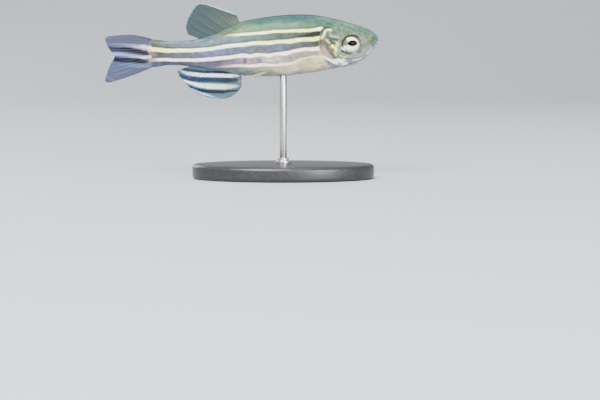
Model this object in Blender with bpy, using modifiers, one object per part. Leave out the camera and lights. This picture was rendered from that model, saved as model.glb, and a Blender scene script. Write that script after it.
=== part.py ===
# Zebra danio, a life-size still model on a plain display stand.
# Sizes are millimetres in the fish's own measures: the distance behind the snout, the distance
# out from the midline (plus is the fish's left) and the height over the body axis.
# The function place() turns them into metres in the model's frame, with +X towards the head
# and the origin under the rod, at the middle of the base's underside.

import math

import bmesh
import bpy
import numpy as np
from mathutils import Vector

MM = 0.001
GAP = 0.3

# Driving sizes of the fish
TOTAL_LENGTH = 40.3
STANDARD_LENGTH = 33.2
SWIM_BEND = 1.7
BEND_START = 10.0

# Driving sizes of the stand
BASE_LENGTH = 27.0
BASE_WIDTH = 17.0
BASE_THICKNESS = 2.2
BASE_EDGE = 0.5
BASE_POINTS = 64
BASE_EDGE_STEPS = 3
SOCKET_DEPTH = 1.4
ROD_DIAMETER = 1.1
ROD_POINTS = 20
ROD_BEHIND_SNOUT = 14.0
BELLY_CLEARANCE = 13.0

# Body outline: behind the snout, back, belly, level of the greatest width, half width
OUTLINE = (
    (0.00, 1.15, 1.15, 1.15, 0.00),
    (0.15, 1.62, 0.42, 1.08, 0.54),
    (0.44, 1.98, -0.22, 0.94, 0.92),
    (1.18, 2.47, -1.14, 0.76, 1.38),
    (1.92, 2.73, -1.86, 0.60, 1.64),
    (3.40, 3.18, -2.68, 0.32, 1.98),
    (5.62, 3.78, -3.17, 0.20, 2.22),
    (8.58, 4.42, -3.72, 0.30, 2.38),
    (11.50, 4.60, -4.15, 0.35, 2.42),
    (14.50, 4.45, -4.45, 0.20, 2.36),
    (17.50, 4.06, -4.45, 0.00, 2.16),
    (20.40, 3.45, -4.18, -0.30, 1.84),
    (23.40, 2.00, -3.67, -0.80, 1.42),
    (26.40, 1.00, -3.20, -1.05, 1.06),
    (30.80, 0.68, -2.82, -1.05, 0.70),
    (33.20, 0.93, -3.18, -1.12, 0.45),
)
SECTION_POWER = 2.15
HEAD_LENGTH = 9.0
HEAD_RINGS = 24
HEAD_CROWDING = 1.6
BODY_RING_STEP = 0.95
RING_POINTS = 44
DEEPEST_INSET = 0.6

# Mouth: the line of the lips in side view, from the tip of the snout to the corner
MOUTH_FRONT = (-0.05, 0.75)
MOUTH_CORNER = (1.40, -0.30)
MOUTH_SLOT = 0.2
LIP_HEIGHT = 0.13
LIP_OFFSET = 0.24
LIP_WIDTH = 0.13

# Eye: centre behind the snout, out from the midline and over the axis, with its half sizes
EYE_CENTRE = (3.86, 1.42, 0.27)
EYE_HALF_SIZE = (1.26, 0.82, 1.24)
EYE_POINTS = 20
SOCKET_HALF_SIZE = (1.55, 1.12, 1.53)
SOCKET_POINTS = 24

# Nostrils: behind the snout, degrees round from the back
NOSTRILS = ((2.00, 58), (2.50, 56))
NOSTRIL_RADIUS = 0.22
NOSTRIL_POINTS = 10

# Gill cover in side view, as distance behind the snout and height, clockwise from the upper front
GILL_COVER = (
    (6.55, 1.92), (7.40, 2.15), (8.20, 1.70), (8.50, 0.44), (8.35, -0.74), (7.70, -1.70),
    (6.81, -2.30), (5.90, -2.70), (5.45, -2.30), (6.00, -1.18), (6.25, 0.30), (6.30, 1.33),
)
GILL_COVER_THICKNESS = 0.5
GILL_COVER_RISE = 0.12
GILL_COVER_INNER = 0.4

# Rear edge of the head in side view, and the level cut behind the vent
HEAD_EDGE = (
    (7.95, 6.0), (7.99, 4.30), (8.58, 2.96), (8.98, 1.63), (9.07, 0.30),
    (8.92, -0.90), (8.24, -2.00), (6.98, -2.85), (5.80, -3.60), (5.2, -6.0),
)
VENT = 20.0

# Places outside the whole body, which the side blocks reach
FAR_OUT = 12
FAR_UP = 6
FAR_AHEAD = -2
FAR_BEHIND = 36

# Fins: the membrane, the ridges of the rays and the thicker root
FIN_THICKNESS = 0.5
RAY_HEIGHT = 0.3
RAY_TAPER = 0.6
FIN_ROOT_THICKNESS = 0.8
ROOT_SHARE = 0.15
MEMBRANE_REACH = 0.985

# Key rays of the middle fins, front to rear: the root's place along the body, or its height at the
# tail's end, then the tip's distance behind the snout and its height
DORSAL_RAYS = 9
DORSAL_ROWS = 6
DORSAL = (
    (20.28, 20.94, 4.62), (20.87, 23.09, 5.40), (21.46, 26.49, 6.32),
    (23.09, 27.90, 4.74), (24.72, 28.45, 2.95), (25.90, 28.20, 1.75),
)
ANAL_RAYS = 15
ANAL_ROWS = 6
ANAL = (
    (20.20, 20.10, -5.50), (20.60, 20.45, -6.50), (21.05, 22.05, -7.70), (22.50, 24.40, -7.80),
    (24.00, 26.80, -7.05), (25.50, 28.60, -5.50), (26.50, 29.50, -4.35), (27.10, 29.75, -3.65),
)
CAUDAL_RAYS = 19
CAUDAL_ROWS = 7
CAUDAL_BOW = (0, -0.35, 0)
CAUDAL = (
    (0.80, 35.50, 1.60), (0.55, 40.25, 1.35), (0.00, 40.30, 0.25),
    (-0.55, 39.75, -0.75), (-1.05, 39.15, -1.60), (-1.60, 39.70, -2.65),
    (-2.15, 40.30, -4.00), (-2.70, 40.25, -5.50), (-2.95, 35.60, -4.10),
)

# Key rays of the paired fins: the root's place along the body and degrees round from the back,
# then the tip as distance behind the snout, out from the midline and height
PECTORAL_RAYS = 12
PECTORAL_ROWS = 6
PECTORAL_BOW = (0, 0.3, 0)
PECTORAL = (
    (9.45, 112, (14.6, 4.3, -2.3)), (9.50, 117, (15.6, 4.1, -3.1)),
    (9.55, 122, (14.9, 3.8, -3.9)), (9.60, 127, (12.9, 3.2, -4.2)),
)
PELVIC_RAYS = 7
PELVIC_ROWS = 5
PELVIC_BOW = (0, 0.15, 0)
PELVIC = (
    (16.2, 146, (19.3, 2.5, -4.6)), (16.6, 150, (20.6, 2.2, -5.1)),
    (17.0, 155, (20.3, 1.7, -5.4)), (17.4, 160, (19.3, 1.2, -5.4)),
)

# Barbels: points behind the snout and degrees round from the back, on a line clear of the skin
BARBEL_RADIUS = 0.25
BARBEL_TIP = 0.3
BARBEL_LIFT = 0.62
BARBELS = {
    "rostral_barbel": ((0.80, 72), (1.15, 74), (1.60, 80), (2.00, 88)),
    "maxillary_barbel": ((1.70, 104), (2.20, 110), (2.90, 116), (3.70, 121), (4.40, 126)),
}


def smooth_curve(places, values):
    """A smooth function through the given values, by cubic pieces that share their slopes."""
    places, values = np.array(places, float), np.array(values, float)
    steps = np.diff(places)
    rises = np.diff(values, axis=0) / (steps if values.ndim == 1 else steps[:, None])
    slopes = np.concatenate([rises[:1], (rises[1:] + rises[:-1]) / 2, rises[-1:]])

    def at(place):
        place = min(max(place, places[0]), places[-1])
        i = min(int(np.searchsorted(places, place, "right")) - 1, len(steps) - 1)
        t = (place - places[i]) / steps[i]
        return (
            values[i] * (1 + 2 * t) * (1 - t) ** 2
            + slopes[i] * steps[i] * t * (1 - t) ** 2
            + values[i + 1] * t * t * (3 - 2 * t)
            + slopes[i + 1] * steps[i] * t * t * (t - 1)
        )

    return at


# The outline is read against the root of the distance, which keeps the snout round
outline_at = smooth_curve([math.sqrt(row[0]) for row in OUTLINE], [row[1:] for row in OUTLINE])
LOWEST_BELLY = min(row[2] for row in OUTLINE)
AXIS_HEIGHT = BASE_THICKNESS + BELLY_CLEARANCE - LOWEST_BELLY


def place(behind, out, height):
    """A point of the fish in the model's frame, in metres, with the tail swung a little aside."""
    swing = max(behind - BEND_START, 0) / (TOTAL_LENGTH - BEND_START)
    return Vector((ROD_BEHIND_SNOUT - behind, out + SWIM_BEND * swing**2, AXIS_HEIGHT + height)) * MM


def back(behind):
    return outline_at(math.sqrt(behind))[0]


def belly(behind):
    return outline_at(math.sqrt(behind))[1]


def lip_rise(behind, height):
    """How far the lips stand out, by the distance to the plane of the mouth."""
    along = Vector(MOUTH_CORNER) - Vector(MOUTH_FRONT)
    from_front = Vector((behind, height)) - Vector(MOUTH_FRONT)
    reach = from_front.dot(along) / along.length
    off = abs(from_front.cross(along)) / along.length
    fade = min(max((along.length + LIP_OFFSET - reach) / (2 * LIP_OFFSET), 0), 1)
    return LIP_HEIGHT * fade * math.exp(-(((off - LIP_OFFSET) / LIP_WIDTH) ** 2))


def skin_point(behind, angle, lift=0.0):
    """(out, height) on the body's surface, with the angle in radians from the back and lift off it."""
    top, bottom, middle, half_width = outline_at(math.sqrt(behind))
    side, rise = math.sin(angle), math.cos(angle)
    height = top - middle if rise > 0 else middle - bottom
    power = 2 / SECTION_POWER
    out = math.copysign(abs(side) ** power, side)
    up = math.copysign(abs(rise) ** power, rise)
    lift = max(lift, -DEEPEST_INSET * half_width) + lip_rise(behind, middle + up * height)
    return out * (half_width + lift), middle + up * (height + lift)


def new_object(name, mesh, collection):
    obj = bpy.data.objects.new(name, mesh)
    collection.objects.link(obj)
    return obj


def object_from(name, bm, collection):
    """An object from a finished bmesh, with its faces pointing out."""
    bm.normal_update()
    bmesh.ops.recalc_face_normals(bm, faces=bm.faces)
    mesh = bpy.data.meshes.new(name)
    bm.to_mesh(mesh)
    bm.free()
    return new_object(name, mesh, collection)


def body_loft(name, collection, lift=0.0):
    """The whole body as one closed skin through its cross sections."""
    head = [HEAD_LENGTH * (i / HEAD_RINGS) ** HEAD_CROWDING for i in range(1, HEAD_RINGS + 1)]
    steps = round((STANDARD_LENGTH - HEAD_LENGTH) / BODY_RING_STEP)
    rest = np.linspace(HEAD_LENGTH, STANDARD_LENGTH, steps + 1)[1:]
    bm = bmesh.new()
    rings = []
    for behind in [*head, *rest]:
        ring = [skin_point(behind, 2 * math.pi * i / RING_POINTS, lift) for i in range(RING_POINTS)]
        rings.append([bm.verts.new(place(behind, *point)) for point in ring])
    for first, second in zip(rings, rings[1:]):
        for i in range(RING_POINTS):
            j = (i + 1) % RING_POINTS
            bm.faces.new((first[i], first[j], second[j], second[i]))
    tips = (place(0, 0, OUTLINE[0][1]), place(STANDARD_LENGTH, 0, OUTLINE[-1][3]))
    for ring, point in zip((rings[0], rings[-1]), tips):
        tip = bm.verts.new(point)
        for i in range(RING_POINTS):
            bm.faces.new((ring[i], ring[(i + 1) % RING_POINTS], tip))
    return object_from(name, bm, collection)


def side_block(name, outline, low, high, collection):
    """A block with the given outline in side view, from low to high across the fish."""
    curve = bpy.data.curves.new(name, "CURVE")
    curve.dimensions = "2D"
    curve.fill_mode = "BOTH"
    curve.extrude = (high - low) / 2 * MM
    spline = curve.splines.new("POLY")
    spline.points.add(len(outline) - 1)
    for point, (behind, height) in zip(spline.points, outline):
        at = place(behind, 0, height)
        point.co = (at.x, at.z, 0, 1)
    spline.use_cyclic_u = True
    drawn = new_object(name + "_outline", curve, collection)
    drawn.rotation_euler = (math.pi / 2, 0, 0)
    drawn.location = (0, (low + high) / 2 * MM, 0)
    bpy.context.view_layer.update()
    bm = bmesh.new()
    bm.from_mesh(bpy.data.meshes.new_from_object(drawn.evaluated_get(bpy.context.evaluated_depsgraph_get())))
    bm.transform(drawn.matrix_world)
    bpy.data.objects.remove(drawn)
    bmesh.ops.remove_doubles(bm, verts=bm.verts, dist=0.001 * MM)
    return object_from(name, bm, collection)


def ellipsoid(name, centre, half_size, points, collection):
    bm = bmesh.new()
    bmesh.ops.create_uvsphere(bm, u_segments=points, v_segments=points // 2, radius=1)
    middle = place(*centre)
    for vert in bm.verts:
        # The poles lie on the line across the fish
        along, up, across = vert.co
        vert.co = middle + Vector((along * half_size[0], across * half_size[1], up * half_size[2])) * MM
    return object_from(name, bm, collection)


def boolean(target, other, operation):
    step = target.modifiers.new(operation.lower(), "BOOLEAN")
    step.operation = operation
    step.object = other


def rounded(points, closed, each=4):
    """More points on a smooth line through the given ones."""
    points = list(points)
    if closed:
        points = points[-2:] + points + points[:3]
    curve = smooth_curve(range(len(points)), points)
    first, last = (2, len(points) - 3) if closed else (0, len(points) - 1)
    count = (last - first) * each
    found = [tuple(curve(first + i / each)) for i in range(count)]
    return found if closed else [*found, points[-1]]


def grown(points, by):
    """A closed outline pushed outwards by a distance."""
    count = len(points)
    area = sum(points[i - 1][0] * points[i][1] - points[i][0] * points[i - 1][1] for i in range(count))
    turn = math.copysign(1, area)
    result = []
    for i in range(count):
        along = Vector(points[(i + 1) % count]) - Vector(points[i - 1])
        outward = Vector((along.y, -along.x)).normalized() * turn
        result.append(tuple(Vector(points[i]) + outward * by))
    return result


def flesh(parts, cutters):
    """Head, trunk and tail, cut from one body, with the gill covers let into the head."""
    edge = rounded(HEAD_EDGE, False)
    before_vent, after_vent = VENT - GAP / 2, VENT + GAP / 2
    regions = {
        "head": [(b - GAP / 2, h) for b, h in edge] + [(FAR_AHEAD, -FAR_UP), (FAR_AHEAD, FAR_UP)],
        "trunk": [(b + GAP / 2, h) for b, h in edge] + [(before_vent, -FAR_UP), (before_vent, FAR_UP)],
        "tail": [(after_vent, FAR_UP), (after_vent, -FAR_UP), (FAR_BEHIND, -FAR_UP), (FAR_BEHIND, FAR_UP)],
    }
    for name, outline in regions.items():
        part = body_loft(name, parts)
        boolean(part, side_block(name + "_region", outline, -FAR_OUT, FAR_OUT, cutters), "INTERSECT")
    return parts.objects["head"]


def gill_covers(head, parts, cutters):
    """The plate over each gill chamber, and the pocket in the head that it lies in."""
    outline = rounded(GILL_COVER, True)
    core = body_loft("gill_cover_core", cutters, -GILL_COVER_THICKNESS + GILL_COVER_RISE)
    pocket_core = body_loft("gill_pocket_core", cutters, -GILL_COVER_THICKNESS + GILL_COVER_RISE - GAP)
    for side, low, high in (("left", GILL_COVER_INNER, FAR_OUT), ("right", -FAR_OUT, -GILL_COVER_INNER)):
        cover = body_loft("gill_cover_" + side, parts, GILL_COVER_RISE)
        boolean(cover, side_block("gill_cover_shape_" + side, outline, low, high, cutters), "INTERSECT")
        boolean(cover, core, "DIFFERENCE")
        pocket = side_block("gill_pocket_" + side, grown(outline, GAP), low, high, cutters)
        boolean(pocket, pocket_core, "DIFFERENCE")
        boolean(head, pocket, "DIFFERENCE")


def eyes(head, parts, cutters):
    for side, sign in (("left", 1), ("right", -1)):
        behind, out, height = EYE_CENTRE
        centre = (behind, sign * out, height)
        ellipsoid("eye_" + side, centre, EYE_HALF_SIZE, EYE_POINTS, parts)
        socket = ellipsoid("eye_socket_" + side, centre, SOCKET_HALF_SIZE, SOCKET_POINTS, cutters)
        boolean(head, socket, "DIFFERENCE")


def mouth_and_nostrils(head, cutters):
    front, corner = Vector(MOUTH_FRONT), Vector(MOUTH_CORNER)
    along = (corner - front).normalized()
    across = Vector((-along.y, along.x)) * MOUTH_SLOT / 2
    start = front - along
    slot = [tuple(start + across), tuple(corner + across), tuple(corner - across), tuple(start - across)]
    boolean(head, side_block("mouth_slot", slot, -FAR_OUT, FAR_OUT, cutters), "DIFFERENCE")
    for number, (behind, degrees) in enumerate(NOSTRILS):
        out, height = skin_point(behind, math.radians(degrees))
        for side, sign in (("left", 1), ("right", -1)):
            size = (NOSTRIL_RADIUS,) * 3
            centre = (behind, sign * out, height)
            pit = ellipsoid(f"nostril_{side}_{number}", centre, size, NOSTRIL_POINTS, cutters)
            boolean(head, pit, "DIFFERENCE")


def ray_thickness(along, on_ray):
    """The fin's thickness at a share of its length, on a ray's ridge or on the membrane between two."""
    root = max(0.0, 1 - along / ROOT_SHARE)
    ridge = RAY_HEIGHT * (1 - along * RAY_TAPER) if on_ray else 0
    body = FIN_THICKNESS + ridge
    return body + (FIN_ROOT_THICKNESS - body) * root


def fin(name, key_rays, rays, rows, parts, bow=(0, 0, 0)):
    """A sheet of rays, each from its root to its tip, with a ridge on both faces along each ray.

    key_rays holds (root, tip) pairs, front to rear, and bow is how far the middle of the far edge swings."""
    keys = range(len(key_rays))
    root_at = smooth_curve(keys, [root for root, _ in key_rays])
    tip_at = smooth_curve(keys, [tip for _, tip in key_rays])
    columns = 2 * (rays - 1)
    bm = bmesh.new()
    bmesh.ops.create_grid(bm, x_segments=columns, y_segments=rows, size=0.5)
    thicknesses = []
    for vert in bm.verts:
        across, along = vert.co.x + 0.5, vert.co.y + 0.5
        key = across * keys[-1]
        on_ray = round(across * columns) % 2 == 0
        reach = along if on_ray else along * MEMBRANE_REACH
        point = Vector(root_at(key)).lerp(Vector(tip_at(key)), reach)
        point += Vector(bow) * math.sin(math.pi * across) * along**2
        vert.co = place(*point)
        thicknesses.append(ray_thickness(along, on_ray))
    bmesh.ops.triangulate(bm, faces=bm.faces)
    mesh = bpy.data.meshes.new(name)
    bm.to_mesh(mesh)
    bm.free()
    sheet = new_object(name, mesh, parts)
    thickest = max(thicknesses)
    group = sheet.vertex_groups.new(name="thickness")
    for index, thickness in enumerate(thicknesses):
        group.add([index], thickness / thickest, "REPLACE")
    solid = sheet.modifiers.new("thickness", "SOLIDIFY")
    solid.thickness = thickest * MM
    solid.offset = 0
    solid.vertex_group = group.name
    return sheet


def middle_fins(parts):
    """The dorsal, anal and caudal fins, which stand on the midline."""
    dorsal = [((r, 0, back(r) + GAP), (b, 0, h)) for r, b, h in DORSAL]
    fin("dorsal_fin", dorsal, DORSAL_RAYS, DORSAL_ROWS, parts)
    anal = [((r, 0, belly(r) - GAP), (b, 0, h)) for r, b, h in ANAL]
    fin("anal_fin", anal, ANAL_RAYS, ANAL_ROWS, parts)
    caudal = [((STANDARD_LENGTH + GAP, 0, r), (b, 0, h)) for r, b, h in CAUDAL]
    fin("caudal_fin", caudal, CAUDAL_RAYS, CAUDAL_ROWS, parts, CAUDAL_BOW)


def paired_fins(parts):
    """The pectoral fins behind the gill covers and the pelvic fins under the belly."""
    for side, sign in (("left", 1), ("right", -1)):
        for name, keys, rays, rows, bow in (
            ("pectoral_fin_" + side, PECTORAL, PECTORAL_RAYS, PECTORAL_ROWS, PECTORAL_BOW),
            ("pelvic_fin_" + side, PELVIC, PELVIC_RAYS, PELVIC_ROWS, PELVIC_BOW),
        ):
            rays_of_side = []
            for behind, degrees, (tip_behind, tip_out, tip_height) in keys:
                out, height = skin_point(behind, math.radians(degrees), GAP + FIN_ROOT_THICKNESS / 2)
                rays_of_side.append(((behind, sign * out, height), (tip_behind, sign * tip_out, tip_height)))
            fin(name, rays_of_side, rays, rows, parts, (bow[0], sign * bow[1], bow[2]))


def barbels(parts):
    """The two pairs of feelers: a short pair beside the snout and a long pair at the mouth's corners."""
    for name, path in BARBELS.items():
        for side, sign in (("left", 1), ("right", -1)):
            curve = bpy.data.curves.new(f"{name}_{side}", "CURVE")
            curve.dimensions = "3D"
            curve.bevel_depth = BARBEL_RADIUS * MM
            curve.bevel_resolution = 1
            curve.use_fill_caps = True
            spline = curve.splines.new("POLY")
            spline.points.add(len(path) - 1)
            for number, (point, (behind, degrees)) in enumerate(zip(spline.points, path)):
                out, height = skin_point(behind, math.radians(degrees), BARBEL_LIFT)
                point.co = (*place(behind, sign * out, height), 1)
                point.radius = 1 - (1 - BARBEL_TIP) * number / (len(path) - 1)
            new_object(f"{name}_{side}", curve, parts)


def upright(name, points, size, foot, bottom, top, collection):
    """A round or oval upright of the given length and width, from bottom to top, all in millimetres."""
    bm = bmesh.new()
    bmesh.ops.create_cone(bm, cap_ends=True, segments=points, radius1=0.5, radius2=0.5, depth=1)
    for vert in bm.verts:
        along, across, up = vert.co
        height = bottom + (up + 0.5) * (top - bottom)
        vert.co = foot + Vector((along * size[0], across * size[1], height)) * MM
    return object_from(name, bm, collection)


def stand(parts, cutters):
    """A flat oval base and one rod, which ends just under the belly."""
    foot = place(ROD_BEHIND_SNOUT, 0, -AXIS_HEIGHT)
    base = upright("stand_base", BASE_POINTS, (BASE_LENGTH, BASE_WIDTH), foot, 0, BASE_THICKNESS, parts)
    floor = BASE_THICKNESS - SOCKET_DEPTH
    wide = ROD_DIAMETER + 2 * GAP
    socket = upright("stand_socket", ROD_POINTS, (wide, wide), foot, floor, 2 * BASE_THICKNESS, cutters)
    boolean(base, socket, "DIFFERENCE")
    rounding = base.modifiers.new("rounding", "BEVEL")
    rounding.width = BASE_EDGE * MM
    rounding.segments = BASE_EDGE_STEPS
    rounding.angle_limit = math.radians(60)

    thick = (ROD_DIAMETER, ROD_DIAMETER)
    rod = upright("stand_rod", ROD_POINTS, thick, foot, floor + GAP, AXIS_HEIGHT, parts)
    boolean(rod, body_loft("belly_clearance", cutters, GAP), "DIFFERENCE")


# Colour, roughness and metallic value of each kind of part
FINISHES = {
    "flesh": ((0.62, 0.64, 0.56), 0.35, 0.25),
    "fin": ((0.66, 0.70, 0.66), 0.4, 0.0),
    "eye": ((0.90, 0.88, 0.78), 0.15, 0.5),
    "barbel": ((0.75, 0.74, 0.66), 0.4, 0.0),
    "base": ((0.05, 0.045, 0.04), 0.35, 0.0),
    "rod": ((0.72, 0.60, 0.35), 0.25, 1.0),
}


def finish_of(name):
    words = [word for word in name.split("_") if word in FINISHES]
    return words[0] if words else "flesh"


def paint(parts):
    """Each part gets a material of its own."""
    for obj in parts.objects:
        colour, roughness, metallic = FINISHES[finish_of(obj.name)]
        material = bpy.data.materials.new(obj.name)
        material.use_nodes = True
        shader = material.node_tree.nodes["Principled BSDF"]
        shader.inputs["Base Color"].default_value = (*colour, 1)
        shader.inputs["Roughness"].default_value = roughness
        shader.inputs["Metallic"].default_value = metallic
        obj.data.materials.clear()
        obj.data.materials.append(material)
        if obj.type == "MESH":
            obj.data.shade_smooth()


def main():
    for obj in list(bpy.data.objects):
        bpy.data.objects.remove(obj)
    parts = bpy.data.collections.new("zebra danio")
    cutters = bpy.data.collections.new("cutters")
    for collection in (parts, cutters):
        bpy.context.scene.collection.children.link(collection)
    head = flesh(parts, cutters)
    gill_covers(head, parts, cutters)
    eyes(head, parts, cutters)
    mouth_and_nostrils(head, cutters)
    middle_fins(parts)
    paired_fins(parts)
    barbels(parts)
    stand(parts, cutters)
    paint(parts)
    for obj in cutters.objects:
        obj.hide_render = True
        obj.display_type = "WIRE"


main()
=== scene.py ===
import math
import bpy
import numpy as np
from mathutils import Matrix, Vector


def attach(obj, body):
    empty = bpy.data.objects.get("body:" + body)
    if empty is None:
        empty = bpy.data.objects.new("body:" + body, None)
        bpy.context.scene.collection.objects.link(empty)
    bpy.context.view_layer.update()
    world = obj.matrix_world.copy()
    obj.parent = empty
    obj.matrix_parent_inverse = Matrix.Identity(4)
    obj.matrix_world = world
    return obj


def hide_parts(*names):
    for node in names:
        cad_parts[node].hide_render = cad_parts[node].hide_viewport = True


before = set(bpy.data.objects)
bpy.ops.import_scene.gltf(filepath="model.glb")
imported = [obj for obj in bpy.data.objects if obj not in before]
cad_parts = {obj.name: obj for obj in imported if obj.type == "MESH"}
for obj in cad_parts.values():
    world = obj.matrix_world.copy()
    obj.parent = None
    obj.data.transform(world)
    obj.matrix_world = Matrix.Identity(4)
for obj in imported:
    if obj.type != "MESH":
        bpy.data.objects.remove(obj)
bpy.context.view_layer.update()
mm = 0.001
sides = (("left", 1), ("right", -1))

# Measures of the fish are millimetres: behind the snout, out from the midline, height over its axis
fish = {
    "snoutAhead": 14.0,  # how far the snout reaches past the rod
    "axisHeight": 19.65,  # height of the fish's axis over the floor
    "totalLength": 40.3,
    "bodyLength": 33.2,
    "tailSwing": 1.7,
    "swingStart": 10.0,
    "thinning": (32.3, 1.5),  # where the flesh starts to thin, and over what length
    "rearBulge": 0.35,  # how far the rear edge of the flesh is rounded in side view
    "mapLength": 42.0,  # length and height that the painted lines' curves cover
    "mapHeight": 16.0,
    "roundness": 2.15,  # power of the cross sections, 2 is an ellipse
}

# behind the snout, back, belly, level of the greatest width, half width
bodyOutline = (
    (0.00, 1.02, 1.02, 1.02, 0.00),
    (0.15, 1.46, 0.38, 0.98, 0.54),
    (0.44, 1.78, -0.22, 0.88, 0.92),
    (1.18, 2.32, -1.14, 0.74, 1.38),
    (1.92, 2.66, -1.86, 0.60, 1.64),
    (3.40, 3.15, -2.68, 0.32, 1.98),
    (5.62, 3.78, -3.17, 0.20, 2.22),
    (8.58, 4.42, -3.72, 0.30, 2.38),
    (11.50, 4.60, -4.15, 0.35, 2.42),
    (14.50, 4.45, -4.45, 0.20, 2.36),
    (17.50, 4.06, -4.45, 0.00, 2.16),
    (20.40, 3.45, -4.18, -0.30, 1.84),
    (23.40, 2.00, -3.67, -0.80, 1.42),
    (26.40, 1.00, -3.20, -1.05, 1.06),
    (30.80, 0.68, -2.82, -1.05, 0.70),
    (33.20, 0.93, -3.18, -1.12, 0.45),
)


# Curves and the body's surface

def smoothCurve(places, values):
    places, values = np.array(places, float), np.array(values, float)
    wide = values if values.ndim > 1 else values[:, None]
    steps = np.diff(places)
    rises = np.diff(wide, axis=0) / steps[:, None]
    slopes = np.concatenate([rises[:1], (rises[1:] + rises[:-1]) / 2, rises[-1:]])

    def at(place):
        place = np.clip(np.asarray(place, float), places[0], places[-1])
        i = np.clip(np.searchsorted(places, place, "right") - 1, 0, len(steps) - 1)
        step = steps[i][..., None]
        t = (place - places[i])[..., None] / step
        found = (
            wide[i] * (1 + 2 * t) * (1 - t) ** 2
            + slopes[i] * step * t * (1 - t) ** 2
            + wide[i + 1] * t * t * (3 - 2 * t)
            + slopes[i + 1] * step * t * t * (t - 1)
        )
        return found if values.ndim > 1 else found[..., 0]

    return at


outlineAt = smoothCurve([math.sqrt(row[0]) for row in bodyOutline], [row[1:] for row in bodyOutline])


def place(behind, out, height):
    swing = np.maximum(behind - fish["swingStart"], 0) / (fish["totalLength"] - fish["swingStart"])
    return np.stack([
        fish["snoutAhead"] - behind + 0 * height,
        out + fish["tailSwing"] * swing**2,
        fish["axisHeight"] + height + 0 * behind,
    ], -1) * mm


def crossSection(behind, angle):
    # (out, height) on the plain body, with the angle in radians from the back
    top, bottom, middle, halfWidth = np.moveaxis(outlineAt(np.sqrt(np.maximum(behind, 0))), -1, 0)
    side, rise = np.sin(angle), np.cos(angle)
    power = 2 / fish["roundness"]
    tall = np.where(rise > 0, top - middle, middle - bottom)
    thin = tailThinning(behind)
    return (
        np.sign(side) * np.abs(side) ** power * halfWidth * thin,
        middle + np.sign(rise) * np.abs(rise) ** power * tall * (0.9 + 0.1 * thin),
    )


def tailThinning(behind):
    # the flesh thins to a wedge over the roots of the tail fin
    start, length = fish["thinning"]
    past = np.clip((behind - start) / length, 0, 1)
    return np.sqrt(np.maximum(1 - past**2, 0.0004))


def bodyPoint(behind, angle):
    out, height = crossSection(behind, angle)
    outline = outlineAt(np.sqrt(np.maximum(behind, 0)))
    fromMiddle = (height - (outline[..., 0] + outline[..., 1]) / 2) / 2.0
    towardsEnd = np.clip((behind - 31) / 2.5, 0, 1) ** 2
    bulge = fish["rearBulge"] * towardsEnd * np.maximum(1 - fromMiddle**2, 0)
    return place(behind + bulge, out, height)


def onBody(behind, angle, lift):
    # a point of the body lifted off it, all arrays, lift in millimetres
    step = 0.004
    near = np.maximum(behind, 2 * step)
    along = bodyPoint(near + step, angle) - bodyPoint(near - step, angle)
    around = bodyPoint(near, angle + step) - bodyPoint(near, angle - step)
    normal = np.cross(along, around)
    normal /= np.maximum(np.linalg.norm(normal, axis=-1, keepdims=True), 1e-12)
    outward = bodyPoint(near, angle) - place(near, 0 * near, outlineAt(np.sqrt(near))[..., 2])
    normal *= np.sign(np.sum(normal * outward, axis=-1, keepdims=True) + 1e-15)
    return bodyPoint(behind, angle) + normal * (lift * mm)[..., None]


def smoothStep(value, low, high):
    t = np.clip((value - low) / (high - low), 0, 1)
    return t * t * (3 - 2 * t)


def lineDistance(behind, height, points):
    # distance to a drawn line, plus on its left side, and how far along it the nearest place is
    best = np.full(np.shape(behind), 1e9)
    signed, reach = np.zeros(np.shape(behind)), np.zeros(np.shape(behind))
    for i, (first, second) in enumerate(zip(points, points[1:])):
        ax, ay = first
        dx, dy = second[0] - ax, second[1] - ay
        t = np.clip(((behind - ax) * dx + (height - ay) * dy) / (dx * dx + dy * dy), 0, 1)
        offX, offY = behind - ax - t * dx, height - ay - t * dy
        distance = np.hypot(offX, offY)
        closer = distance < best
        best = np.where(closer, distance, best)
        signed = np.where(closer, distance * np.where(dx * offY - dy * offX > 0, 1, -1), signed)
        reach = np.where(closer, (i + t) / (len(points) - 1), reach)
    return signed, reach


def drawnCurve(points, each=6):
    curve = smoothCurve(range(len(points)), points)
    return [tuple(p) for p in curve(np.linspace(0, len(points) - 1, (len(points) - 1) * each + 1))]


# Mesh helpers

def deselectAll():
    bpy.ops.object.select_all(action="DESELECT")


def makeActive(obj):
    deselectAll()
    obj.select_set(True)
    bpy.context.view_layer.objects.active = obj


def selectForEdit(action="SELECT"):
    bpy.ops.object.mode_set(mode="EDIT")
    bpy.ops.mesh.select_all(action=action)


def backToObject():
    bpy.ops.object.mode_set(mode="OBJECT")


def newest(name):
    obj = bpy.context.object
    obj.name = obj.data.name = name
    return obj


def pointsOf(obj):
    flat = np.empty(len(obj.data.vertices) * 3)
    obj.data.vertices.foreach_get("co", flat)
    return flat.reshape(-1, 3).T


def shapedGrid(name, columns, rows, shape):
    # a grid primitive whose points are set by shape(across, along), both from 0 to 1
    deselectAll()
    bpy.ops.mesh.primitive_grid_add(x_subdivisions=columns, y_subdivisions=rows, size=2)
    obj = newest(name)
    x, y, _ = pointsOf(obj)
    obj.data.vertices.foreach_set("co", shape((x + 1) / 2, (y + 1) / 2).ravel())
    obj.data.update()
    return obj


def closeSeams(obj, distance=1e-7):
    makeActive(obj)
    selectForEdit()
    bpy.ops.mesh.remove_doubles(threshold=distance)
    bpy.ops.mesh.normals_make_consistent(inside=False)
    backToObject()


def addAttribute(obj, name, values):
    layer = obj.data.attributes.new(name, "FLOAT", "POINT")
    layer.data.foreach_set("value", np.asarray(values, float).ravel())


def applyModifiers(obj):
    makeActive(obj)
    for modifier in list(obj.modifiers):
        bpy.ops.object.modifier_apply(modifier=modifier.name)


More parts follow.
